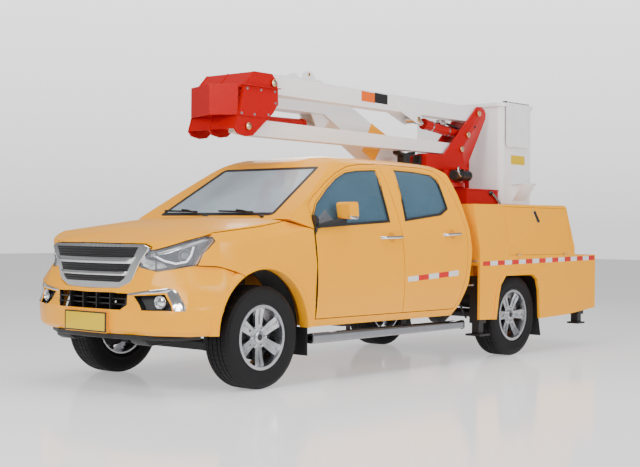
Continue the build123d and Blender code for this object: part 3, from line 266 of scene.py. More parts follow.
# Plain shapes gathered into one mesh, in mm; sign -1 makes the right-hand twin
class Draft:
    def __init__(self, sign=1):
        self.work, self.sign = bmesh.new(), sign

    # skins closed rings one after another; mouth leaves the first one open, closed joins the last to it
    def rings(self, rows, closed=False, mouth=False):
        size, count = len(rows[0]), len(rows)
        loops = []
        for j in range(count if closed else count - 1):
            low, high = j * size, (j + 1) % count * size
            loops += [(low + i, low + (i + 1) % size, high + (i + 1) % size, high + i) for i in range(size)]
        if not (closed or mouth):
            loops.append(range(size))
        if not closed:
            loops.append(range((count - 1) * size, count * size))
        verts = [self.work.verts.new((x * mm, self.sign * y * mm, z * mm)) for row in rows for x, y, z in row]
        for loop in loops:
            self.work.faces.new([verts[i] for i in loop])
        return self

    def plateX(self, outline, x0, x1):
        return self.rings([[(x, y, z) for y, z in outline] for x in (x0, x1)])

    def plateY(self, outline, y0, y1):
        return self.rings([[(x, y, z) for x, z in outline] for y in (y0, y1)])

    def plateZ(self, outline, z0, z1):
        return self.rings([[(x, y, z) for x, y in outline] for z in (z0, z1)])

    def box(self, x0, x1, y0, y1, z0, z1):
        return self.plateZ([(x0, y0), (x1, y0), (x1, y1), (x0, y1)], z0, z1)

    # a profile of (along, radius) turned about a line through a place
    def turned(self, place, direction, profile, count=32, closed=False):
        turn = Vector(direction).to_track_quat("Z", "Y").to_matrix()
        rows = []
        for along, radius in profile:
            spots = [Vector((radius * cos(a), radius * sin(a), along)) for a in roundAngles(count)]
            rows.append([tuple(Vector(place) + turn @ spot) for spot in spots])
        return self.rings(rows, closed)

    # the same profile on both ends of a pin that lies across the truck
    def pinEnds(self, x, z, ends, profile, count=32):
        for y, way in zip(ends, (1, -1)):
            self.turned((x, y, z), (0, way, 0), profile, count)
        return self

    def tube(self, path, radius, count=10):
        path = [Vector(point) for point in path]
        rows, side = [], None
        for i, point in enumerate(path):
            ahead = (path[min(i + 1, len(path) - 1)] - path[max(i - 1, 0)]).normalized()
            side = side or ahead.orthogonal()
            side = (side - ahead * side.dot(ahead)).normalized()
            over = ahead.cross(side)
            spokes = [side * cos(a) + over * sin(a) for a in roundAngles(count)]
            rows.append([tuple(point + spoke * radius) for spoke in spokes])
        return self.rings(rows)

    def tubes(self, paths, radius):
        for path in paths:
            self.tube(path, radius)
        return self

    def studs(self, places, direction, profile, count):
        for place in places:
            self.turned(place, direction, profile, count)
        return self

    # a thin panel laid on a skin, filled from its outline towards the middle
    def laid(self, skin, outline, proud, thick, view="side", layers=2, cuts=2):
        edge = cutUp(outline, cuts)
        u = sum(point[0] for point in edge) / len(edge)
        z = sum(point[1] for point in edge) / len(edge)
        inmost = 0.02  # what is left of the outline in the middle, closed by a flat face
        scales = [1 - j / layers * (1 - inmost) for j in range(layers + 1)]
        flat = [[(u + (a - u) * scale, z + (b - z) * scale) for a, b in edge] for scale in scales]
        front = [skin.row(row, proud, view) for row in flat]
        back = [skin.row(row, proud - thick, view) for row in flat]
        return self.rings(list(reversed(front)) + back)

    # a frame laid on a skin's side between two outlines
    def collar(self, skin, outer, inner, proud, thick, cuts=3):
        front = skin.row(cutUp(outer, cuts), proud)
        middle = [(u, y, z) for (u, z), (x, y, height) in zip(cutUp(inner, cuts), front)]
        deep = [[(x, y - thick, z) for x, y, z in row] for row in (middle, front)]
        return self.rings([front, middle] + deep, closed=True)

    # the piece goes with a node and takes its finish; angle is in degrees
    def done(self, name, finish, node, slot=None, bevel=0, angle=32, repeat=None, place=None):
        bmesh.ops.recalc_face_normals(self.work, faces=self.work.faces)
        mesh = bpy.data.meshes.new(name)
        self.work.to_mesh(mesh)
        self.work.free()
        mesh.materials.append(materials[finish])
        piece = placed(name, mesh)
        if bevel:
            rounded(piece, bevel, angle)
        if repeat:
            repeated(piece, materials[finish], *repeat)
        settle(piece)
        if place is not None:
            piece.data.transform(place)
        sharpened(piece.data, angle)
        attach(piece, bodyOf[node])
        return piece


# The outside of some CAD nodes, met by rays from the left side or from the front
class Skin:
    # view: the axis of its rays, where they start, outside the truck, and which way they go
    views = {"side": (1, 1300, Vector((0, -1, 0))), "front": (0, 3200, Vector((-1, 0, 0)))}

    def __init__(self, *names):
        points, faces = [], []
        for name in names:
            base, mesh = len(points), nodes[name].data
            points += [vertex.co.copy() for vertex in mesh.vertices]
            faces += [[base + i for i in face.vertices] for face in mesh.polygons]
        self.tree = BVHTree.FromPolygons(points, faces)

    # a point at (u, z) of a view, at a depth along it
    def spot(self, view, u, depth, z):
        return (u, depth, z) if view == "side" else (depth, u, z)

    # places on the skin; one that misses takes the depth of the place before it
    def row(self, places, proud, view="side"):
        axis, start, ray = self.views[view]
        depths = []
        for u, z in places:
            hit = self.tree.ray_cast(Vector(self.spot(view, u, start, z)) * mm, ray)[0]
            depths.append(None if hit is None else hit[axis] / mm)
        last, points = next(depth for depth in depths if depth is not None), []
        for (u, z), depth in zip(places, depths):
            last = last if depth is None else depth
            points.append(self.spot(view, u, last + proud, z))
        return points


def sharpened(mesh, angle):
    for face in mesh.polygons:
        face.use_smooth = True
    mesh.set_sharp_from_angle(angle=radians(angle))


def rounded(piece, width, angle):
    mod = piece.modifiers.new("edges", "BEVEL")
    mod.width, mod.segments = width * mm, 2
    mod.limit_method, mod.angle_limit = "ANGLE", radians(angle)
    mod.harden_normals = mod.use_clamp_overlap = True


# Geometry Nodes: copy i stands i steps along and i turns round the origin
def copiesTree():
    group = bpy.data.node_groups.new("copies", "GeometryNodeTree")
    kinds = {"Geometry": "Geometry", "Count": "Int", "Step": "Vector", "Turn": "Vector", "Finish": "Material"}
    for name, kind in kinds.items():
        group.interface.new_socket(name, in_out="INPUT", socket_type="NodeSocket" + kind)
    group.interface.new_socket("Geometry", in_out="OUTPUT", socket_type="NodeSocketGeometry")
    tree, given = NodeTree(group), group.nodes.new("NodeGroupInput").outputs
    index = tree.make("GeometryNodeInputIndex", {}, [])
    place, turn = (tree.make("ShaderNodeVectorMath", {"operation": "SCALE"}, {0: given[name], "Scale": index})
                   for name in ("Step", "Turn"))
    points = tree.make("GeometryNodePoints", {}, {"Count": given["Count"], "Position": place})
    turned = tree.make("FunctionNodeEulerToRotation", {}, [turn])
    values = {"Points": points, "Instance": given["Geometry"], "Rotation": turned}
    spread = tree.make("GeometryNodeInstanceOnPoints", {}, values)
    real = tree.make("GeometryNodeRealizeInstances", {}, [spread])
    finished = tree.make("GeometryNodeSetMaterial", {}, {"Geometry": real, "Material": given["Finish"]})
    tree.put(group.nodes.new("NodeGroupOutput").inputs[0], finished)
    return group


copies = copiesTree()
copiesInput = {item.name: item.identifier for item in copies.interface.items_tree if item.in_out == "INPUT"}


# settings of evenly spaced copies round the y axis or the z axis
def around(axis, count):
    turn = 2 * pi / count
    return (count, (0, 0, 0), (0, turn, 0) if axis == "y" else (0, 0, turn))


# copies of a piece: step in mm, turn in radians
def repeated(piece, material, count, step, turn=(0, 0, 0)):
    mod = piece.modifiers.new("copies", "NODES")
    mod.node_group = copies
    mod[copiesInput["Count"]] = count
    mod[copiesInput["Step"]] = [value * mm for value in step]
    mod[copiesInput["Turn"]] = list(turn)
    mod[copiesInput["Finish"]] = material


# takes a piece's modifiers into its mesh
def settle(piece):
    if len(piece.modifiers):
        graph = bpy.context.evaluated_depsgraph_get()
        mesh = bpy.data.meshes.new_from_object(piece.evaluated_get(graph))
        piece.modifiers.clear()
        piece.data = mesh


# node: a second finish and the places, in mm, that take it
accents = {
    "lamps": ("tailRed", lambda x, y, z: x < -2900),
    "front_bumper": ("motor_black", lambda x, y, z: 2800 < x < 2897 and abs(y) < 386 and 594 < z < 714),
    "running_boards": ("boardSilver", lambda x, y, z: abs(y) > 893),
    "seats": ("dash_plastic", lambda x, y, z: z < 640),
}
for sign, side in sides:
    accents["service_box_" + side] = ("brightSteel", lambda x, y, z: abs(y) > 926 and 935 < z < 965)
    # the corner ahead of the window or the mirror's foot
    accents["door_front_" + side] = ("motor_black", lambda x, y, z: x > 1400 and z > 1158 and abs(y) > 860 or
                                     x > 1080 and z < 1259 and abs(y) > 883)

# The nodes that get rounded edges, and the width of their bevel in mm
dressing = {
    "cab_shell": 4, "front_fenders": 5, "bonnet": 5, "front_bumper": 6, "service_box_left": 7,
    "service_box_right": 7, "rear_deck": 3, "pedestal": 5, "boom_rest": 3, "turret": 3, "main_arm": 4,
    "levelling_link": 4, "upper_boom": 4, "elbow": 3, "elbow_cover": 3, "bucket": 4, "bucket_carrier": 3,
    "running_boards": 5, "box_lid_left": 3, "box_lid_right": 3, "door_front_left": 3,
    "door_front_right": 3, "door_rear_left": 3, "door_rear_right": 3, "dashboard": 8, "seats": 6,
    "chassis_frame": 3, "lamps": 0, "lift_barrel": 2, "fold_barrel": 2, "slew_drive": 4, "grille": 4,
    "rim_front_left": 3, "rim_front_right": 3, "rim_rear_left": 3, "rim_rear_right": 3,
}
merging = {"gap": 0.05 * mm, "flat": radians(0.6), "sharp": 32}  # sharp is in degrees


# A merged copy of a CAD node with rounded edges stands for the node
def dress(node, bevel):
    mesh = nodes[node].data.copy()
    mesh.materials.clear()
    mesh.materials.append(materials[slotOf[node]])
    work = bmesh.new()
    work.from_mesh(mesh)
    bmesh.ops.remove_doubles(work, verts=work.verts, dist=merging["gap"])
    bmesh.ops.dissolve_degenerate(work, edges=work.edges, dist=merging["gap"])
    if node in accents:
        finish, inside = accents[node]
        mesh.materials.append(materials[finish])
        for face in work.faces:
            face.material_index = int(inside(*(face.calc_center_median() / mm)))
    if not node.startswith("box_lid"):
        bmesh.ops.dissolve_limit(work, angle_limit=merging["flat"], verts=work.verts, edges=work.edges,
                                 delimit={"MATERIAL"})
    work.to_mesh(mesh)
    work.free()
    piece = placed("dressed." + node, mesh)
    sharpened(mesh, merging["sharp"])
    if bevel:
        rounded(piece, bevel, merging["sharp"])
    settle(piece)
    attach(piece, bodyOf[node])
    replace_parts(piece, node)


for node, bevel in dressing.items():
    dress(node, bevel)
for node, cad in nodes.items():
    if node not in dressing and not node.startswith("tyre"):
        cad.data.materials.clear()
        cad.data.materials.append(materials["screenGlass" if node == "cab_glass" else slotOf[node]])
print("nodes dressed", len(dressing))

# Wheels; a profile is (outwards along the axle, radius) from the wheel's middle
wheels = {
    "axles": {"front": (2015, 1570), "rear": (-1445, 1510)}, "radius": 381.5,  # x and track of each axle
    "halfCarcass": [(117, 250), (119.5, 254), (121.5, 258), (119.5, 263), (125, 290), (127.4, 318),
                    (124, 344), (113, 362), (92, 371)],
    "beads": [(-104, 230), (104, 230)], "blocks": 62, "blockHalf": 18,
    "ribs": [(-20, 20), (28, 58), (-58, -28)], "ribLow": 366, "ribHigh": 380.6,
    "shoulder": [(66, 368), (66, 380.4), (88, 379.4), (104, 373.5), (114, 360), (104, 360)],
    "cap": [(65, 46), (78, 46), (83, 41), (85, 30), (85, 0.5)], "boss": [(84, 25), (87, 23), (88, 0.5)],
    "nut": [(61, 10.5), (78, 10.5), (81, 8), (81, 0.5)], "nuts": 6, "nutCircle": 69.85,
    "disc": [(6, 84), (6, 168), (24, 168), (24, 84)],
}


def buildWheel(w, place, sign, side):
    tyreNode, rimNode = f"tyre_{place}_{side}", f"rim_{place}_{side}"
    axleX, track = w["axles"][place]
    centre = Matrix.Translation((axleX * mm, sign * track / 2 * mm, w["radius"] * mm))
    if sign < 0:
        centre = centre @ Matrix.Rotation(pi, 4, "Z")
    middle, axle = (0, 0, 0), (0, 1, 0)
    carcass = w["beads"] + w["halfCarcass"] + [(-y, radius) for y, radius in reversed(w["halfCarcass"])]
    tyre = Draft().turned(middle, axle, carcass, 96, closed=True)
    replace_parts(tyre.done("carcass." + tyreNode, "tyre_rubber", tyreNode, angle=40, place=centre), tyreNode)
    tread, half = Draft(), w["blockHalf"]
    low, high = w["ribLow"], w["ribHigh"]
    for y0, y1 in w["ribs"]:
        tread.plateX([(y0, low), (y0, high), (y1, high), (y1, low)], -half, half)
    for flip in (1, -1):
        tread.plateX([(flip * y, z) for y, z in w["shoulder"]], -half, half)
    blocks = around("y", w["blocks"])
    tread.done("tread." + tyreNode, "tyre_rubber", tyreNode, repeat=blocks, place=centre)
    cap = Draft().turned(middle, axle, w["cap"])
    cap.done("hubCap." + rimNode, "alloy", rimNode, angle=50, place=centre)
    boss = Draft().turned(middle, axle, w["boss"])
    boss.done("hubBoss." + rimNode, "motor_black", rimNode, "alloy", place=centre)
    nut = Draft().turned((w["nutCircle"], 0, 0), axle, w["nut"], 6)
    nut.done("nuts." + rimNode, "rod_chrome", rimNode, repeat=around("y", w["nuts"]), place=centre)
    disc = Draft().turned(middle, axle, w["disc"], 64, closed=True)
    disc.done("brakeDisc." + rimNode, "axle_steel", rimNode, "rod_chrome", place=centre)


for place in wheels["axles"]:
    for sign, side in sides:
        buildWheel(wheels, place, sign, side)
print("wheels ready")

# Grille: its face is an arc in plan; mesh and bars are (half width, height) levels
grille = {
    "frontX": 2866, "frontRadius": 1795, "faceOut": 24, "margin": 6,
    "ribStep": 17, "ribRadius": 4, "ribProud": 4, "ribSpans": 8,
    "mesh": [(462, 1040), (430, 985), (400, 925), (340, 815), (300, 790)],
    "bars": [[(436, 968), (408, 922)], [(380, 866), (352, 836)]],
}


def grilleX(y, proud):
    centre = grille["frontX"] - grille["frontRadius"]
    return centre + sqrt((grille["frontRadius"] + grille["faceOut"] + proud) ** 2 - y * y)


def grillePanel(levels, proud, thick):
    rows = []
    for half, z in levels:
        front = [(grilleX(half * k / 10, proud), half * k / 10, z) for k in range(-10, 11)]
        rows.append(front + [(x - thick, y, z) for x, y, z in reversed(front)])
    return Draft().rings(rows)


def buildGrille(g):
    grillePanel(g["mesh"], proud=1.5, thick=8).done("grilleBack", "chassis_black", "grille", "chassis_black")
    ribs, (topHalf, top), (lowHalf, low) = Draft(), g["mesh"][0], g["mesh"][-1]
    z = low + g["ribStep"]
    while z < top - g["margin"]:
        half = lowHalf + (topHalf - lowHalf) * (z - low) / (top - low) - g["margin"]
        ys = [half * k / g["ribSpans"] for k in range(-g["ribSpans"], g["ribSpans"] + 1)]
        ribs.tube([(grilleX(y, g["ribProud"]), y, z) for y in ys], g["ribRadius"], 8)
        z += g["ribStep"]
    ribs.done("grilleRibs", "motor_black", "grille", angle=60)
    for number, levels in enumerate(g["bars"]):
        bar = grillePanel(levels, proud=12, thick=12)
        bar.done(f"grilleBar{number}", "grille_chrome", "grille", "grille_chrome", 4)


# Lamps: outlines are (x, z) for a headlamp and (y, z) for a fog lamp
lamps = {
    "lens": [(2579, 917), (2538, 1002), (2471, 1088), (2492, 1114), (2539, 1112), (2669, 1062), (2779, 1006),
             (2809, 986), (2806, 902), (2781, 870), (2637, 907)],
    "sealNose": 2770, "shellDepth": 72, "indicatorDepth": 20, "bladeDepth": 14, "daylightRadius": 7.5,
    "indicator": [(2716, 902), (2778, 880), (2796, 910), (2798, 960), (2740, 930)],
    "blade": [(2500, 1094), (2545, 1097), (2669, 1048), (2779, 992), (2779, 972), (2669, 1022), (2560, 1066)],
    "daylight": [(2590, 1046), (2604, 985), (2628, 940), (2680, 926), (2730, 944), (2768, 978)],
    "projector": (2644, 744, 984), "projectorDepth": 30, "facing": (0.62, 0.77, 0.06),
    "bowl": [(-22, 34), (4, 47), (9, 47), (9, 42), (-14, 29)],
    "eye": [(-16, 30), (-4, 29), (6, 22), (11, 11), (12, 0.5)],
    "trims": [[(392, 700), (396, 714), (700, 757), (740, 752), (700, 728)],
              [(700, 728), (740, 752), (772, 728), (836, 603), (762, 600), (712, 700)]],
    "fog": [(442, 697), (683, 714), (748, 600), (534, 599)], "fogDepth": 48,
    "fogPlace": (2780, 645, 657), "fogFacing": (1, 0.25, 0),
    "fogRing": [(-26, 44), (6, 50), (12, 47), (8, 42), (-20, 40)],
    "fogGlass": [(-22, 41), (0, 40), (9, 26), (13, 0.5)],
}


def buildHeadlamp(h, sign, side):
    skin = Skin("lamps")
    shell = Draft(sign).laid(skin, widened(h["lens"], -5), -h["shellDepth"], 3, layers=3, cuts=3)
    shell.done("lampShell." + side, "lampShell", "lamps")
    rim = [(min(x, h["sealNose"]), z) for x, z in h["lens"]]
    seal = Draft(sign).collar(skin, widened(rim, 0.5), widened(rim, -6), 1.5, 6)
    seal.done("lampSeal." + side, "motor_black", "lamps")
    lit = Draft(sign).laid(skin, h["indicator"], -h["indicatorDepth"], 3)
    lit.done("indicator." + side, "lampSilver", "lamps")
    blade = Draft(sign).laid(skin, h["blade"], -h["bladeDepth"], 3, cuts=3)
    blade.done("lampBlade." + side, "lampSilver", "lamps")
    strip = Draft(sign).tube(skin.row(h["daylight"], -h["indicatorDepth"]), h["daylightRadius"])
    strip.done("daylight." + side, "dayLight", "lamps", angle=60)
    facing = Vector(h["facing"]).normalized()
    place = Vector(h["projector"]) - facing * h["projectorDepth"]
    bowl = Draft(sign).turned(place, facing, h["bowl"], 40, closed=True)
    bowl.done("projectorBowl." + side, "grille_chrome", "lamps", angle=50)
    eye = Draft(sign).turned(place, facing, h["eye"], 40)
    eye.done("projectorEye." + side, "projectorEye", "lamps", angle=60)


def buildFog(h, sign, side):
    skin = Skin("front_bumper")
    for number, outline in enumerate(h["trims"]):
        trim = Draft(sign).laid(skin, outline, 7, 10, "front", cuts=3)
        trim.done(f"fogTrim{number}.{side}", "grille_chrome", "front_bumper", "grille_chrome", 1.5)
    edge = skin.row(cutUp(widened(h["fog"], 3), 3), -2, "front")
    mouth = [(x, *pair) for (x, y, z), pair in zip(edge, cutUp(widened(h["fog"], -2), 3))]
    deep = [(x - h["fogDepth"], y, z) for x, y, z in mouth]
    lining = Draft(sign).rings([mouth, deep], mouth=True)
    lining.done("fogLining." + side, "chassis_black", "front_bumper", "chassis_black", angle=20)
    ring = Draft(sign).turned(h["fogPlace"], h["fogFacing"], h["fogRing"], 48, closed=True)
    ring.done("fogRing." + side, "grille_chrome", "front_bumper", "grille_chrome", angle=50)
    dome = Draft(sign).turned(h["fogPlace"], h["fogFacing"], h["fogGlass"], 48)
    dome.done("fogGlass." + side, "lampSilver", "lamps", angle=60)


# Below the bumper: a panel with two skids, and before it the number plate
lowNose = {
    "under": [(2480, -740), (2700, -690), (2850, -420), (2878, 0), (2850, 420), (2700, 690), (2480, 740)],
    "underZ": (384, 420), "skidY": 426, "skidHalf": 85,
    "skid": [(2560, 384), (2560, 352), (2750, 340), (2790, 360), (2800, 384)],
    "frame": (2929, 2933, -236, 236, 430, 574), "plate": (2933, 2934.5, -222, 222, 440, 564),
}


def buildLowNose(low):
    under = Draft().plateZ(low["under"], *low["underZ"])
    for y in (-low["skidY"], low["skidY"]):
        under.plateY(low["skid"], y - low["skidHalf"], y + low["skidHalf"])
    under.done("underPanel", "chassis_black", "front_bumper", "chassis_black", 5)
    Draft().box(*low["frame"]).done("plateFrame", "motor_black", "front_bumper", bevel=1.5)
    Draft().box(*low["plate"]).done("plateBlank", "labelYellow", "front_bumper", "arm_white", 0.5)


buildGrille(grille)
for sign, side in sides:
    buildHeadlamp(lamps, sign, side)
    buildFog(lamps, sign, side)
buildLowNose(lowNose)
print("nose ready")

# Tapes: (x, low edge, high edge) at both ends, number of blocks, and the first block of each colour
tapes = {
    "door": ((297, 744, 786), (-440, 780, 827), 5, {"tapeWhite": 0, "tapeRed": 1}),
    "box": ((-836, 857, 897), (-2908, 886, 931), 17, {"tapeWhite": 1, "tapeRed": 0}),
}


def buildTape(tape, skin, sign, node):
    start, end, count, colourStarts = tape
    cuts = [[a + (b - a) * i / count for a, b in zip(start, end)] for i in range(count + 1)]
    for finish, first in colourStarts.items():
        blocks = Draft(sign)
        for i in range(first, count, 2):
            (x0, low0, high0), (x1, low1, high1) = cuts[i:i + 2]
            blocks.laid(skin, [(x0, low0), (x1, low1), (x1, high1), (x0, high0)], **sticker)
        blocks.done(f"tape.{finish}.{node}", finish, node, "arm_white")


# Doors: windows and handle ends are (x, z); a grip bends away from its door near each end
doors = {
    "windows": {
        "front": [(1410, 1200), (478, 1252), (450, 1469), (390, 1681), (664, 1665), (833, 1641), (985, 1585),
                  (1151, 1496), (1334, 1376), (1408, 1288)],
        "rear": [(240, 1265), (139, 1692), (-165, 1687), (-386, 1666), (-436, 1617), (-418, 1374),
                 (-291, 1321)],
    },
    "sealOut": 14, "sealIn": 7, "sealDepth": 16,
    "handles": {"front": ((625, 1111), (348, 1118)), "rear": ((-263, 1137), (-509, 1148))},
    "cup": (50, 42), "gripBend": [(0, -3, 0), (-8, 14, 0), (-30, 24, 1)], "gripRadius": 13,
    "mirror": [(886, 1276), (984, 1276), (984, 1384), (886, 1384)], "mirrorX": (1034, 1046),
    "mirrorLamp": [(1046, 1258), (1132, 1258), (1148, 1284), (1046, 1282)], "mirrorLampY": (975, 1003),
}


def buildDoor(d, place, sign, side):
    node, window = f"door_{place}_{side}", d["windows"][place]
    skin = Skin(f"door_{place}_left")
    outer, inner = widened(window, d["sealOut"]), widened(window, -d["sealIn"])
    seal = Draft(sign).collar(skin, outer, inner, 1.6, d["sealDepth"])
    seal.done("seal." + node, "motor_black", node, angle=50)
    (x0, z0), (x1, z1) = d["handles"][place]
    middleX, middleZ, (wide, high) = (x0 + x1) / 2, (z0 + z1) / 2, d["cup"]
    oval = [(middleX + wide * cos(a), middleZ + high * sin(a)) for a in roundAngles(24)]
    # the handle's recess is a flat oval of darker yellow laid on the door: painted shade
    cup = Draft(sign).laid(skin, oval, 0.8, 3, cuts=1)
    cup.done("handleCup." + node, "yellowPaintedShade", node)
    front, back = skin.row(d["handles"][place], 0)
    path = [(front[0] + x, front[1] + y, front[2] + z) for x, y, z in d["gripBend"]]
    path += [(back[0] - x, back[1] + y, back[2] - z) for x, y, z in reversed(d["gripBend"])]
    grip = Draft(sign).tube(path, d["gripRadius"], 12)
    grip.done("grip." + node, "grille_chrome", node, "grille_chrome", angle=60)


def buildMirror(d, sign, side):
    node = "door_front_" + side
    face = Draft(sign).plateX(d["mirror"], *d["mirrorX"])
    face.done("mirrorGlass." + node, "mirrorGlass", node, "rod_chrome", 1)
    lit = Draft(sign).plateY(d["mirrorLamp"], *d["mirrorLampY"])
    lit.done("mirrorLamp." + node, "lampSilver", node, "lamp_clear", 3)


# Windscreen: a place on it is (y, share of the way up from its low edge, height above the glass),
# and a wiper is the path of its arm and the ends of its blade
screen = {
    "low": (1700, 1252), "high": (945, 1716), "lifts": (-1, -4.5),
    "outer": [(-650, 0.045), (650, 0.045), (547, 0.955), (-547, 0.955)],
    "inner": [(-608, 0.115), (608, 0.115), (512, 0.905), (-512, 0.905)],
    "wipers": [
        ([(-60, 0.03, 12), (-325, 0.11, 26), (-413.3333, 0.125, 24)], [(-224.5, 0.11, 12), (-630, 0.13, 12)]),
        ([(560, 0.03, 12), (310, 0.1, 26), (226.6667, 0.115, 24)], [(415, 0.1, 12), (20, 0.12, 12)]),
    ],
    "armRadius": 6, "bladeRadius": 7, "pivot": [(0, 17), (22, 15), (26, 8)], "pivotFacing": (0.52, 0, 0.85),
    "pivotLift": -6,
}


def screenPoint(y, share, lift):
    (x0, z0), (x1, z1) = screen["low"], screen["high"]
    length = hypot(x1 - x0, z1 - z0)
    out = ((z1 - z0) / length * lift, -(x1 - x0) / length * lift)
    return (x0 + (x1 - x0) * share + out[0], y, z0 + (z1 - z0) * share + out[1])


def buildScreen(s):
    near, deep = s["lifts"]
    lines = ((s["outer"], near), (s["inner"], near), (s["inner"], deep), (s["outer"], deep))
    border = Draft().rings([[screenPoint(y, share, lift) for y, share in cutUp(line, 4)]
                            for line, lift in lines], closed=True)
    border.done("screenBorder", "motor_black", "cab_shell")
    for number, (arm, blade) in enumerate(s["wipers"]):
        rootY, rootShare = arm[0][:2]
        wiper = Draft().tube([screenPoint(*point) for point in arm], s["armRadius"], 8)
        wiper.turned(screenPoint(rootY, rootShare, s["pivotLift"]), s["pivotFacing"], s["pivot"], 20)
        wiper.tube([screenPoint(*point) for point in blade], s["bladeRadius"], 8)
        wiper.done(f"wiper{number}", "motor_black", "cab_shell", angle=50)


for sign, side in sides:
    for place in doors["windows"]:
        buildDoor(doors, place, sign, side)
    buildTape(tapes["door"], Skin("door_rear_left"), sign, "door_rear_" + side)
    buildMirror(doors, sign, side)
buildScreen(screen)
print("cab ready")

# Running boards, service boxes and what hangs on them
flanks = {
    "treads": 5, "tread": (-430, 1170, 792, 804, 353, 359), "treadStep": (0, 24, 6.28),
    "pad": [(775, 349), (775, 352), (898, 384), (898, 380)], "padX": (1270, 1482),
    "boardEnd": [(776, 318), (776, 350), (900, 383), (928, 383), (936, 363), (936, 318), (915, 303)],
    "boardEnds": (-532, 1500), "boardEndHalf": 5,
    "latch": [(-1800, 1366), (-1848, 1376), (-1902, 1266), (-1854, 1256)],
    "rods": [[(-795, 782, 687), (-722, 782, 687), (-710, 794, 687), (-710, 904, 687)],
             [(-795, 864, 903), (-722, 864, 903), (-710, 876, 903), (-710, 944, 903)]],
    "strut": [(-672, 700, 667), (-800, 700, 500), (-905, 700, 372)], "rodRadius": 9,
    "rearMarks": {"rearTape": ("tapeRed", [(600, 690)]), "rearPale": ("tapeWhite", [(430, 520), (260, 350)])},
    "rearMarkX": (-2924, -2919), "rearMarkZ": (640, 668),
}


def buildBoards(f, sign, side):
    stepX, stepY, stepZ = f["treadStep"]
    tread = Draft(sign).box(*f["tread"])
    tread.done("treads." + side, "flap_rubber", "running_boards", bevel=1.5,
               repeat=(f["treads"], (stepX, sign * stepY, stepZ)))
    pad = Draft(sign).plateX(f["pad"], *f["padX"])
    pad.done("boardPad." + side, "alloy", "running_boards", "alloy", 1)
    for x in f["boardEnds"]:
        cap = Draft(sign).plateX(f["boardEnd"], x - f["boardEndHalf"], x + f["boardEndHalf"])
        cap.done(f"boardEnd{x}.{side}", "chassis_black", "running_boards", bevel=2)


def buildBox(f, sign, side):
    box, lid = "service_box_" + side, "box_lid_" + side
    skin = Skin("service_box_left", "box_lid_left")
    buildTape(tapes["box"], skin, sign, box)
    latch = Draft(sign).laid(skin, f["latch"], 5, 8, layers=1)
    latch.done("latchPlate." + lid, "brightSteel", lid, bevel=1)
    grip = Draft(sign).laid(skin, widened(f["latch"], -6), 9, 6, layers=1)
    grip.done("latchGrip." + lid, "motor_black", lid, bevel=1.5)
    rods = Draft(sign).tubes(f["rods"], f["rodRadius"])
    rods.done("sideRods." + side, "brightSteel", box, angle=50)
    strut = Draft(sign).tube(f["strut"], f["rodRadius"])
    strut.done("strut." + side, "chassis_black", box, "chassis_black", angle=50)
    z0, z1 = f["rearMarkZ"]
    for name, (finish, spans) in f["rearMarks"].items():
        marks = Draft(sign)
        for y0, y1 in spans:
            marks.plateX([(y0, z0), (y1, z0), (y1, z1), (y0, z1)], *f["rearMarkX"])
        marks.done(f"{name}.{side}", finish, "rear_deck", "arm_white", 0.5)


for sign, side in sides:
    buildBoards(flanks, sign, side)
    buildBox(flanks, sign, side)
print("sides ready")

# Pins and bolts of the boom: places are (x, z), ends are y on the left and on the right
pins = {
    "joints": {"turret": ([(-1973, 2369), (-1785, 2142), (-1675, 1992)], (112, -112)),
               "elbow": ([(1077, 2387), (1375, 2010)], (112, -468))},
    "cap": [(-2, 29), (7, 29), (10, 25), (10, 0.5)], "capHigh": 10,
    "eye": [(-1, 9), (5, 9), (6, 7), (6, 0.5)],
    "lug": (-981, 2237, (83, -83), [(-2, 30), (6, 30), (9, 26), (9, 0.5)]),
    "crest": (262, 2568, (-226, -426), [(-2, 17), (5, 17), (7, 14), (7, 0.5)]),
    "hole": (-1921, 99, 2229), "holeEdge": [(-1, 15), (2, 15), (2, 0.5)],
    "elbowBolts": [(1060, 2318), (1225, 2318), (1385, 2318), (1135, 2120), (1300, 2112), (1450, 2112),
                   (1050, 2222)],
    "elbowBoltY": 105, "elbowBolt": [(0, 12), (2, 12), (2, 8), (8, 8), (9, 0.5)],
    "flange": (1000, 1440, 98, 126, 2341, 2349),
}


def buildPins(p):
    for node, (places, (left, right)) in p["joints"].items():
        cap, eye = Draft(), Draft()
        for x, z in places:
            cap.pinEnds(x, z, (left, right), p["cap"])
            eye.pinEnds(x, z, (left + p["capHigh"], right - p["capHigh"]), p["eye"], 6)
        cap.done("pinCaps." + node, "pinBrass", node, angle=40)
        eye.done("pinBolts." + node, "brightSteel", node)
    Draft().pinEnds(*p["lug"]).done("liftLugCaps", "pinBrass", "main_arm", angle=40)
    Draft().pinEnds(*p["crest"]).done("crestPins", "pinBrass", "upper_boom", angle=40)
    # the hole is a black disc on the turret's side: painted shade of its inside
    hole = Draft().turned(p["hole"], (0, 1, 0), p["holeEdge"])
    hole.done("turretHolePaintedShade", "motor_black", "turret")
    places = [(x, p["elbowBoltY"], z) for x, z in p["elbowBolts"]]
    bolts = Draft().studs(places, (0, 1, 0), p["elbowBolt"], 12)
    bolts.done("elbowBolts", "brightSteel", "elbow", angle=40)
    Draft().box(*p["flange"]).done("elbowFlange", "turret_red", "elbow", bevel=2)


# Marks on the boom, as (x, z) outlines: both halves of the blank sign, and the band
signs = {
    "Front": ("signOrange", [(-120, 2345), (-312.5, 2340), (-312.5, 2431), (-120, 2437)]),
    "Rear": ("motor_black", [(-312.5, 2345), (-505, 2340), (-505, 2431), (-312.5, 2437)]),
}
bandOutline = [(-505, 1925), (-690, 1828), (-880, 2092), (-640, 2195)]


def buildMark(name, finish, node, outline):
    Draft().laid(Skin(node), outline, **sticker).done(name, finish, node, "arm_white")


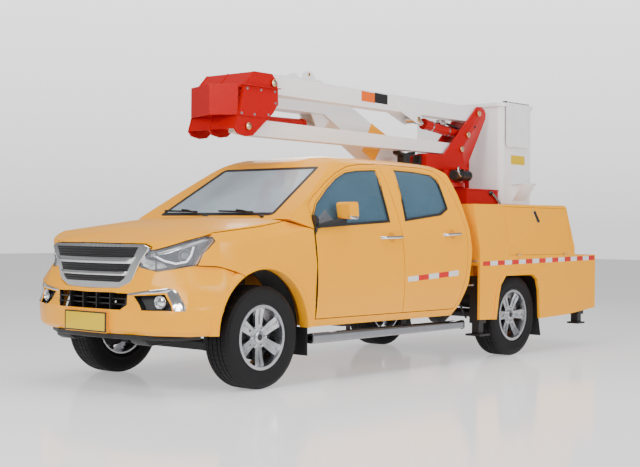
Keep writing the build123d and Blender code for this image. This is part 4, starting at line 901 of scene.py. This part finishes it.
# The lift cylinder's valve, hoses and bands, and the slew motor's cap and pipes
hydraulics = {
    "valve": [(-1392, 2222), (-1478, 2212), (-1478, 2258), (-1460, 2270), (-1405, 2270), (-1392, 2258)],
    "valveY": (-8, 50), "nuts": [(-1460, 48, 2240), (-1432, 48, 2240), (-1404, 48, 2240)],
    "nut": [(0, 11), (14, 11), (16, 8), (22, 8), (22, 0.5)],
    "hose": [(-1478, 30, 2236), (-1520, 32, 2240), (-1600, 40, 2226), (-1680, 40, 2212), (-1730, 30, 2205)],
    "hoseShifts": (0, 20), "hoseRadius": 8,
    "bands": [(-1560, 0, 2168.6), (-1290, 0, 2200.5)], "band": [(-9, 51), (9, 51)], "liftAxis": (804, 0, 95),
    "pipes": [
        [(-1420, 255, 1766), (-1396, 268, 1790), (-1352, 292, 1790), (-1330, 306, 1760), (-1340, 308, 1722),
         (-1380, 300, 1700)],
        [(-1500, 255, 1766), (-1480, 262, 1786), (-1440, 262, 1786), (-1420, 255, 1766)],
    ],
    "pipeRadius": 9, "motorEnd": (-1571, 255, 1716), "motorRing": (-1430, 255, 1716),
    "motorCap": [(-30, 52), (4, 52), (10, 46), (12, 0.5)], "motorBand": [(-8, 53), (8, 53)],
}


def buildHydraulics(h):
    valve = Draft().plateY(h["valve"], *h["valveY"])
    valve.done("liftValve", "brightSteel", "lift_barrel", bevel=4)
    nuts = Draft().studs(h["nuts"], (0, 1, 0), h["nut"], 6)
    nuts.done("liftValveNuts", "rod_chrome", "lift_barrel", "rod_chrome")
    paths = [[(x, y - shift, z) for x, y, z in h["hose"]] for shift in h["hoseShifts"]]
    hoses = Draft().tubes(paths, h["hoseRadius"])
    hoses.done("liftHoses", "flap_rubber", "lift_barrel", "flap_rubber", angle=60)
    bands = Draft().studs(h["bands"], h["liftAxis"], h["band"], 40)
    bands.done("liftBands", "brightSteel", "lift_barrel", angle=40)
    pipes = Draft().tubes(h["pipes"], h["pipeRadius"])
    pipes.done("motorPipes", "brightSteel", "slew_drive", angle=50)
    motor = Draft().turned(h["motorEnd"], (-1, 0, 0), h["motorCap"], 40)
    motor.turned(h["motorRing"], (-1, 0, 0), h["motorBand"], 40)
    motor.done("motorCap", "motor_black", "slew_drive", angle=40)


# Lever and lid of the control box, and the bolts of the slew ring
control = {
    "lever": [(-1893, 1560), (-1912, 1572), (-2070, 1468), (-2072, 1446), (-2050, 1446)],
    "leverY": (312, 322), "mountPlace": (-1905, 299, 1553), "mount": [(0, 26), (8, 24), (26, 14), (28, 0.5)],
    "lid": (-2056, -1485, 84, 306, 1576, 1592), "ringCentre": (-1540, 0, 1637), "ringRadius": 187,
    "ringBolts": 20, "ringBolt": [(0, 10), (9, 10), (10, 0.5)],
}


def buildControl(c):
    lever = Draft().plateY(c["lever"], *c["leverY"])
    lever.done("controlLever", "brightSteel", "pedestal", bevel=3)
    mount = Draft().turned(c["mountPlace"], (0, 1, 0), c["mount"], 24)
    mount.done("leverMount", "motor_black", "pedestal", angle=40)
    Draft().box(*c["lid"]).done("controlLid", "turret_red", "pedestal", "turret_red", 4)
    bolt = Draft().turned((c["ringRadius"], 0, 0), (0, 0, 1), c["ringBolt"], 6)
    ring, centre = around("z", c["ringBolts"]), Matrix.Translation(Vector(c["ringCentre"]) * mm)
    bolt.done("ringBolts", "brightSteel", "pedestal", repeat=ring, place=centre)


# Bucket: its flap, label, step and clips, and the bolts of its carrier
bucket = {
    "flap": [(-2232, 2508), (-2659, 2508), (-2664, 2090), (-2655, 2062), (-2630, 2048), (-2268, 2040),
             (-2243, 2054), (-2236, 2082)],
    "flapY": (272, 276), "fold": [(-2232, 2496), (-2659, 2496), (-2659, 2506), (-2232, 2506)],
    "foldY": (222, 276),
    "label": [(-2372, 1868), (-2625, 1868), (-2632, 1875), (-2632, 1955), (-2625, 1962), (-2372, 1962),
              (-2365, 1955), (-2365, 1875)],
    "labelY": (249, 251.5), "stepX": (-2655, -2395), "treadX": (-2670, -2380),
    "step": [(248, 1660), (364, 1672), (372, 1666), (352, 1630), (262, 1498), (248, 1498)],
    "tread": [(248, 1662), (368, 1674), (380, 1672), (380, 1664), (248, 1652)],
    "clipX": (-2236, -2654), "clipHalf": 9, "clipYZ": (232, 277, 2494, 2510),
    "carrierX": -2171, "carrierY": (-480, -170), "carrierZ": (1530, 1740, 1950),
    "carrierBolt": [(-1, 17), (3, 17), (3, 12), (14, 12), (15, 0.5)],
}


def buildBucket(b):
    flap = Draft().plateY(b["flap"], *b["flapY"]).plateY(b["fold"], *b["foldY"])
    flap.done("bucketFlap", "canvas", "bucket", "bucket_white", 1.5)
    label = Draft().plateY(b["label"], *b["labelY"])
    label.done("bucketLabel", "labelYellow", "bucket", "bucket_white")
    step = Draft().plateX(b["step"], *b["stepX"]).plateX(b["tread"], *b["treadX"])
    step.done("bucketStep", "bucket_white", "bucket", bevel=5)
    clips = Draft()
    for x in b["clipX"]:
        clips.box(x - b["clipHalf"], x + b["clipHalf"], *b["clipYZ"])
    clips.done("flapClips", "motor_black", "bucket", bevel=2)
    places = [(b["carrierX"], y, z) for y in b["carrierY"] for z in b["carrierZ"]]
    bolts = Draft().studs(places, (1, 0, 0), b["carrierBolt"], 12)
    bolts.done("carrierBolts", "brightSteel", "bucket_carrier", angle=40)


buildPins(pins)
for name, (finish, outline) in signs.items():
    buildMark("sign" + name, finish, "main_arm", outline)
buildHydraulics(hydraulics)
buildControl(control)
buildBucket(bucket)
buildMark("boomBand", "yellowBand", "upper_boom", bandOutline)
print("boom ready")

# Studio, in metres and radians: a pale floor, a grey sky and the camera of the photograph
studio = {
    "floorHalf": 40.0, "floorColour": (0.90, 0.90, 0.91), "floorRough": 0.1, "floorGlow": 0.48,
    "eye": (8.4941, 7.0705, 1.1699), "yaw": -2.42655, "pitch": -0.00274, "roll": 0.0078,
    "lens": 68.83, "sensor": 36.0, "sight": 200.0,
    "sky": ((0.0, 0.62), (0.06, 0.80), (0.18, 1.05), (0.45, 0.60), (0.7, 1.0)), "skyBlue": 1.01,
    "worldPower": 0.42, "backdropPower": 2.0,
}


def buildFloor(s):
    half = s["floorHalf"]
    mesh = bpy.data.meshes.new("floor")
    corners = [(-half, -half, 0), (half, -half, 0), (half, half, 0), (-half, half, 0)]
    mesh.from_pydata(corners, [], [(0, 1, 2, 3)])
    shade = Shade("floorPale", colour=s["floorColour"], rough=s["floorRough"], specular=0.3,
                  glow=s["floorColour"], glowPower=s["floorGlow"])
    mesh.materials.append(shade.material)
    placed("floor", mesh)


def buildCamera(s):
    forward = Vector((cos(s["pitch"]) * cos(s["yaw"]),
                      cos(s["pitch"]) * sin(s["yaw"]), sin(s["pitch"])))
    level = Vector((sin(s["yaw"]), -cos(s["yaw"]), 0.0))
    right = level * cos(s["roll"]) + level.cross(forward) * sin(s["roll"])
    turn = Matrix((right, right.cross(forward), -forward)).transposed()
    lens = bpy.data.cameras.new("camera")
    lens.lens, lens.sensor_width, lens.sensor_fit = s["lens"], s["sensor"], "HORIZONTAL"
    lens.clip_end = s["sight"]
    camera = placed("camera", lens)
    camera.matrix_world = Matrix.Translation(s["eye"]) @ turn.to_4x4()
    bpy.context.scene.camera = camera


# the sky's greys by height; the camera sees it brighter than it lights the truck
def buildWorld(s):
    world = bpy.data.worlds.new("studio")
    bpy.context.scene.world = world
    world.use_nodes = True
    sky, light = NodeTree(world.node_tree), world.node_tree.nodes["Background"].inputs
    outwards = sky.make("ShaderNodeTexCoord", {}, [], out="Generated")
    height = sky.make("ShaderNodeSeparateXYZ", {}, [outwards], out="Z")
    stops = [(place, (grey, grey, grey * s["skyBlue"])) for place, grey in s["sky"]]
    sky.put(light["Color"], sky.make("ShaderNodeValToRGB", {"stops": stops}, [height]))
    toCamera = sky.make("ShaderNodeLightPath", {}, [], out="Is Camera Ray")
    power = {"Value": toCamera, "To Min": s["worldPower"], "To Max": s["backdropPower"]}
    sky.put(light["Strength"], sky.make("ShaderNodeMapRange", {}, power))


# name: (place, point it faces, size, power)
softLights = {
    "top": ((0.5, 1.0, 7.0), (0.0, 0.0, 1.0), 7.0, 430.0),
    "key": ((8.0, 1.5, 4.5), (0.5, 0.3, 1.2), 3.5, 380.0),
    "side": ((0.0, 9.0, 4.0), (-0.3, 0.3, 1.1), 4.0, 430.0),
    "rear": ((-7.0, -6.0, 4.5), (0.0, 0.0, 1.5), 4.0, 260.0),
}


def buildLights(table):
    for name, (place, target, size, power) in table.items():
        lamp = bpy.data.lights.new(name, "AREA")
        lamp.shape, lamp.size, lamp.energy = "DISK", size, power
        light = placed(name, lamp)
        light.location = place
        light.rotation_euler = (Vector(target) - Vector(place)).to_track_quat("-Z", "Y").to_euler()


buildFloor(studio)
buildCamera(studio)
buildWorld(studio)
buildLights(softLights)
print("studio ready")
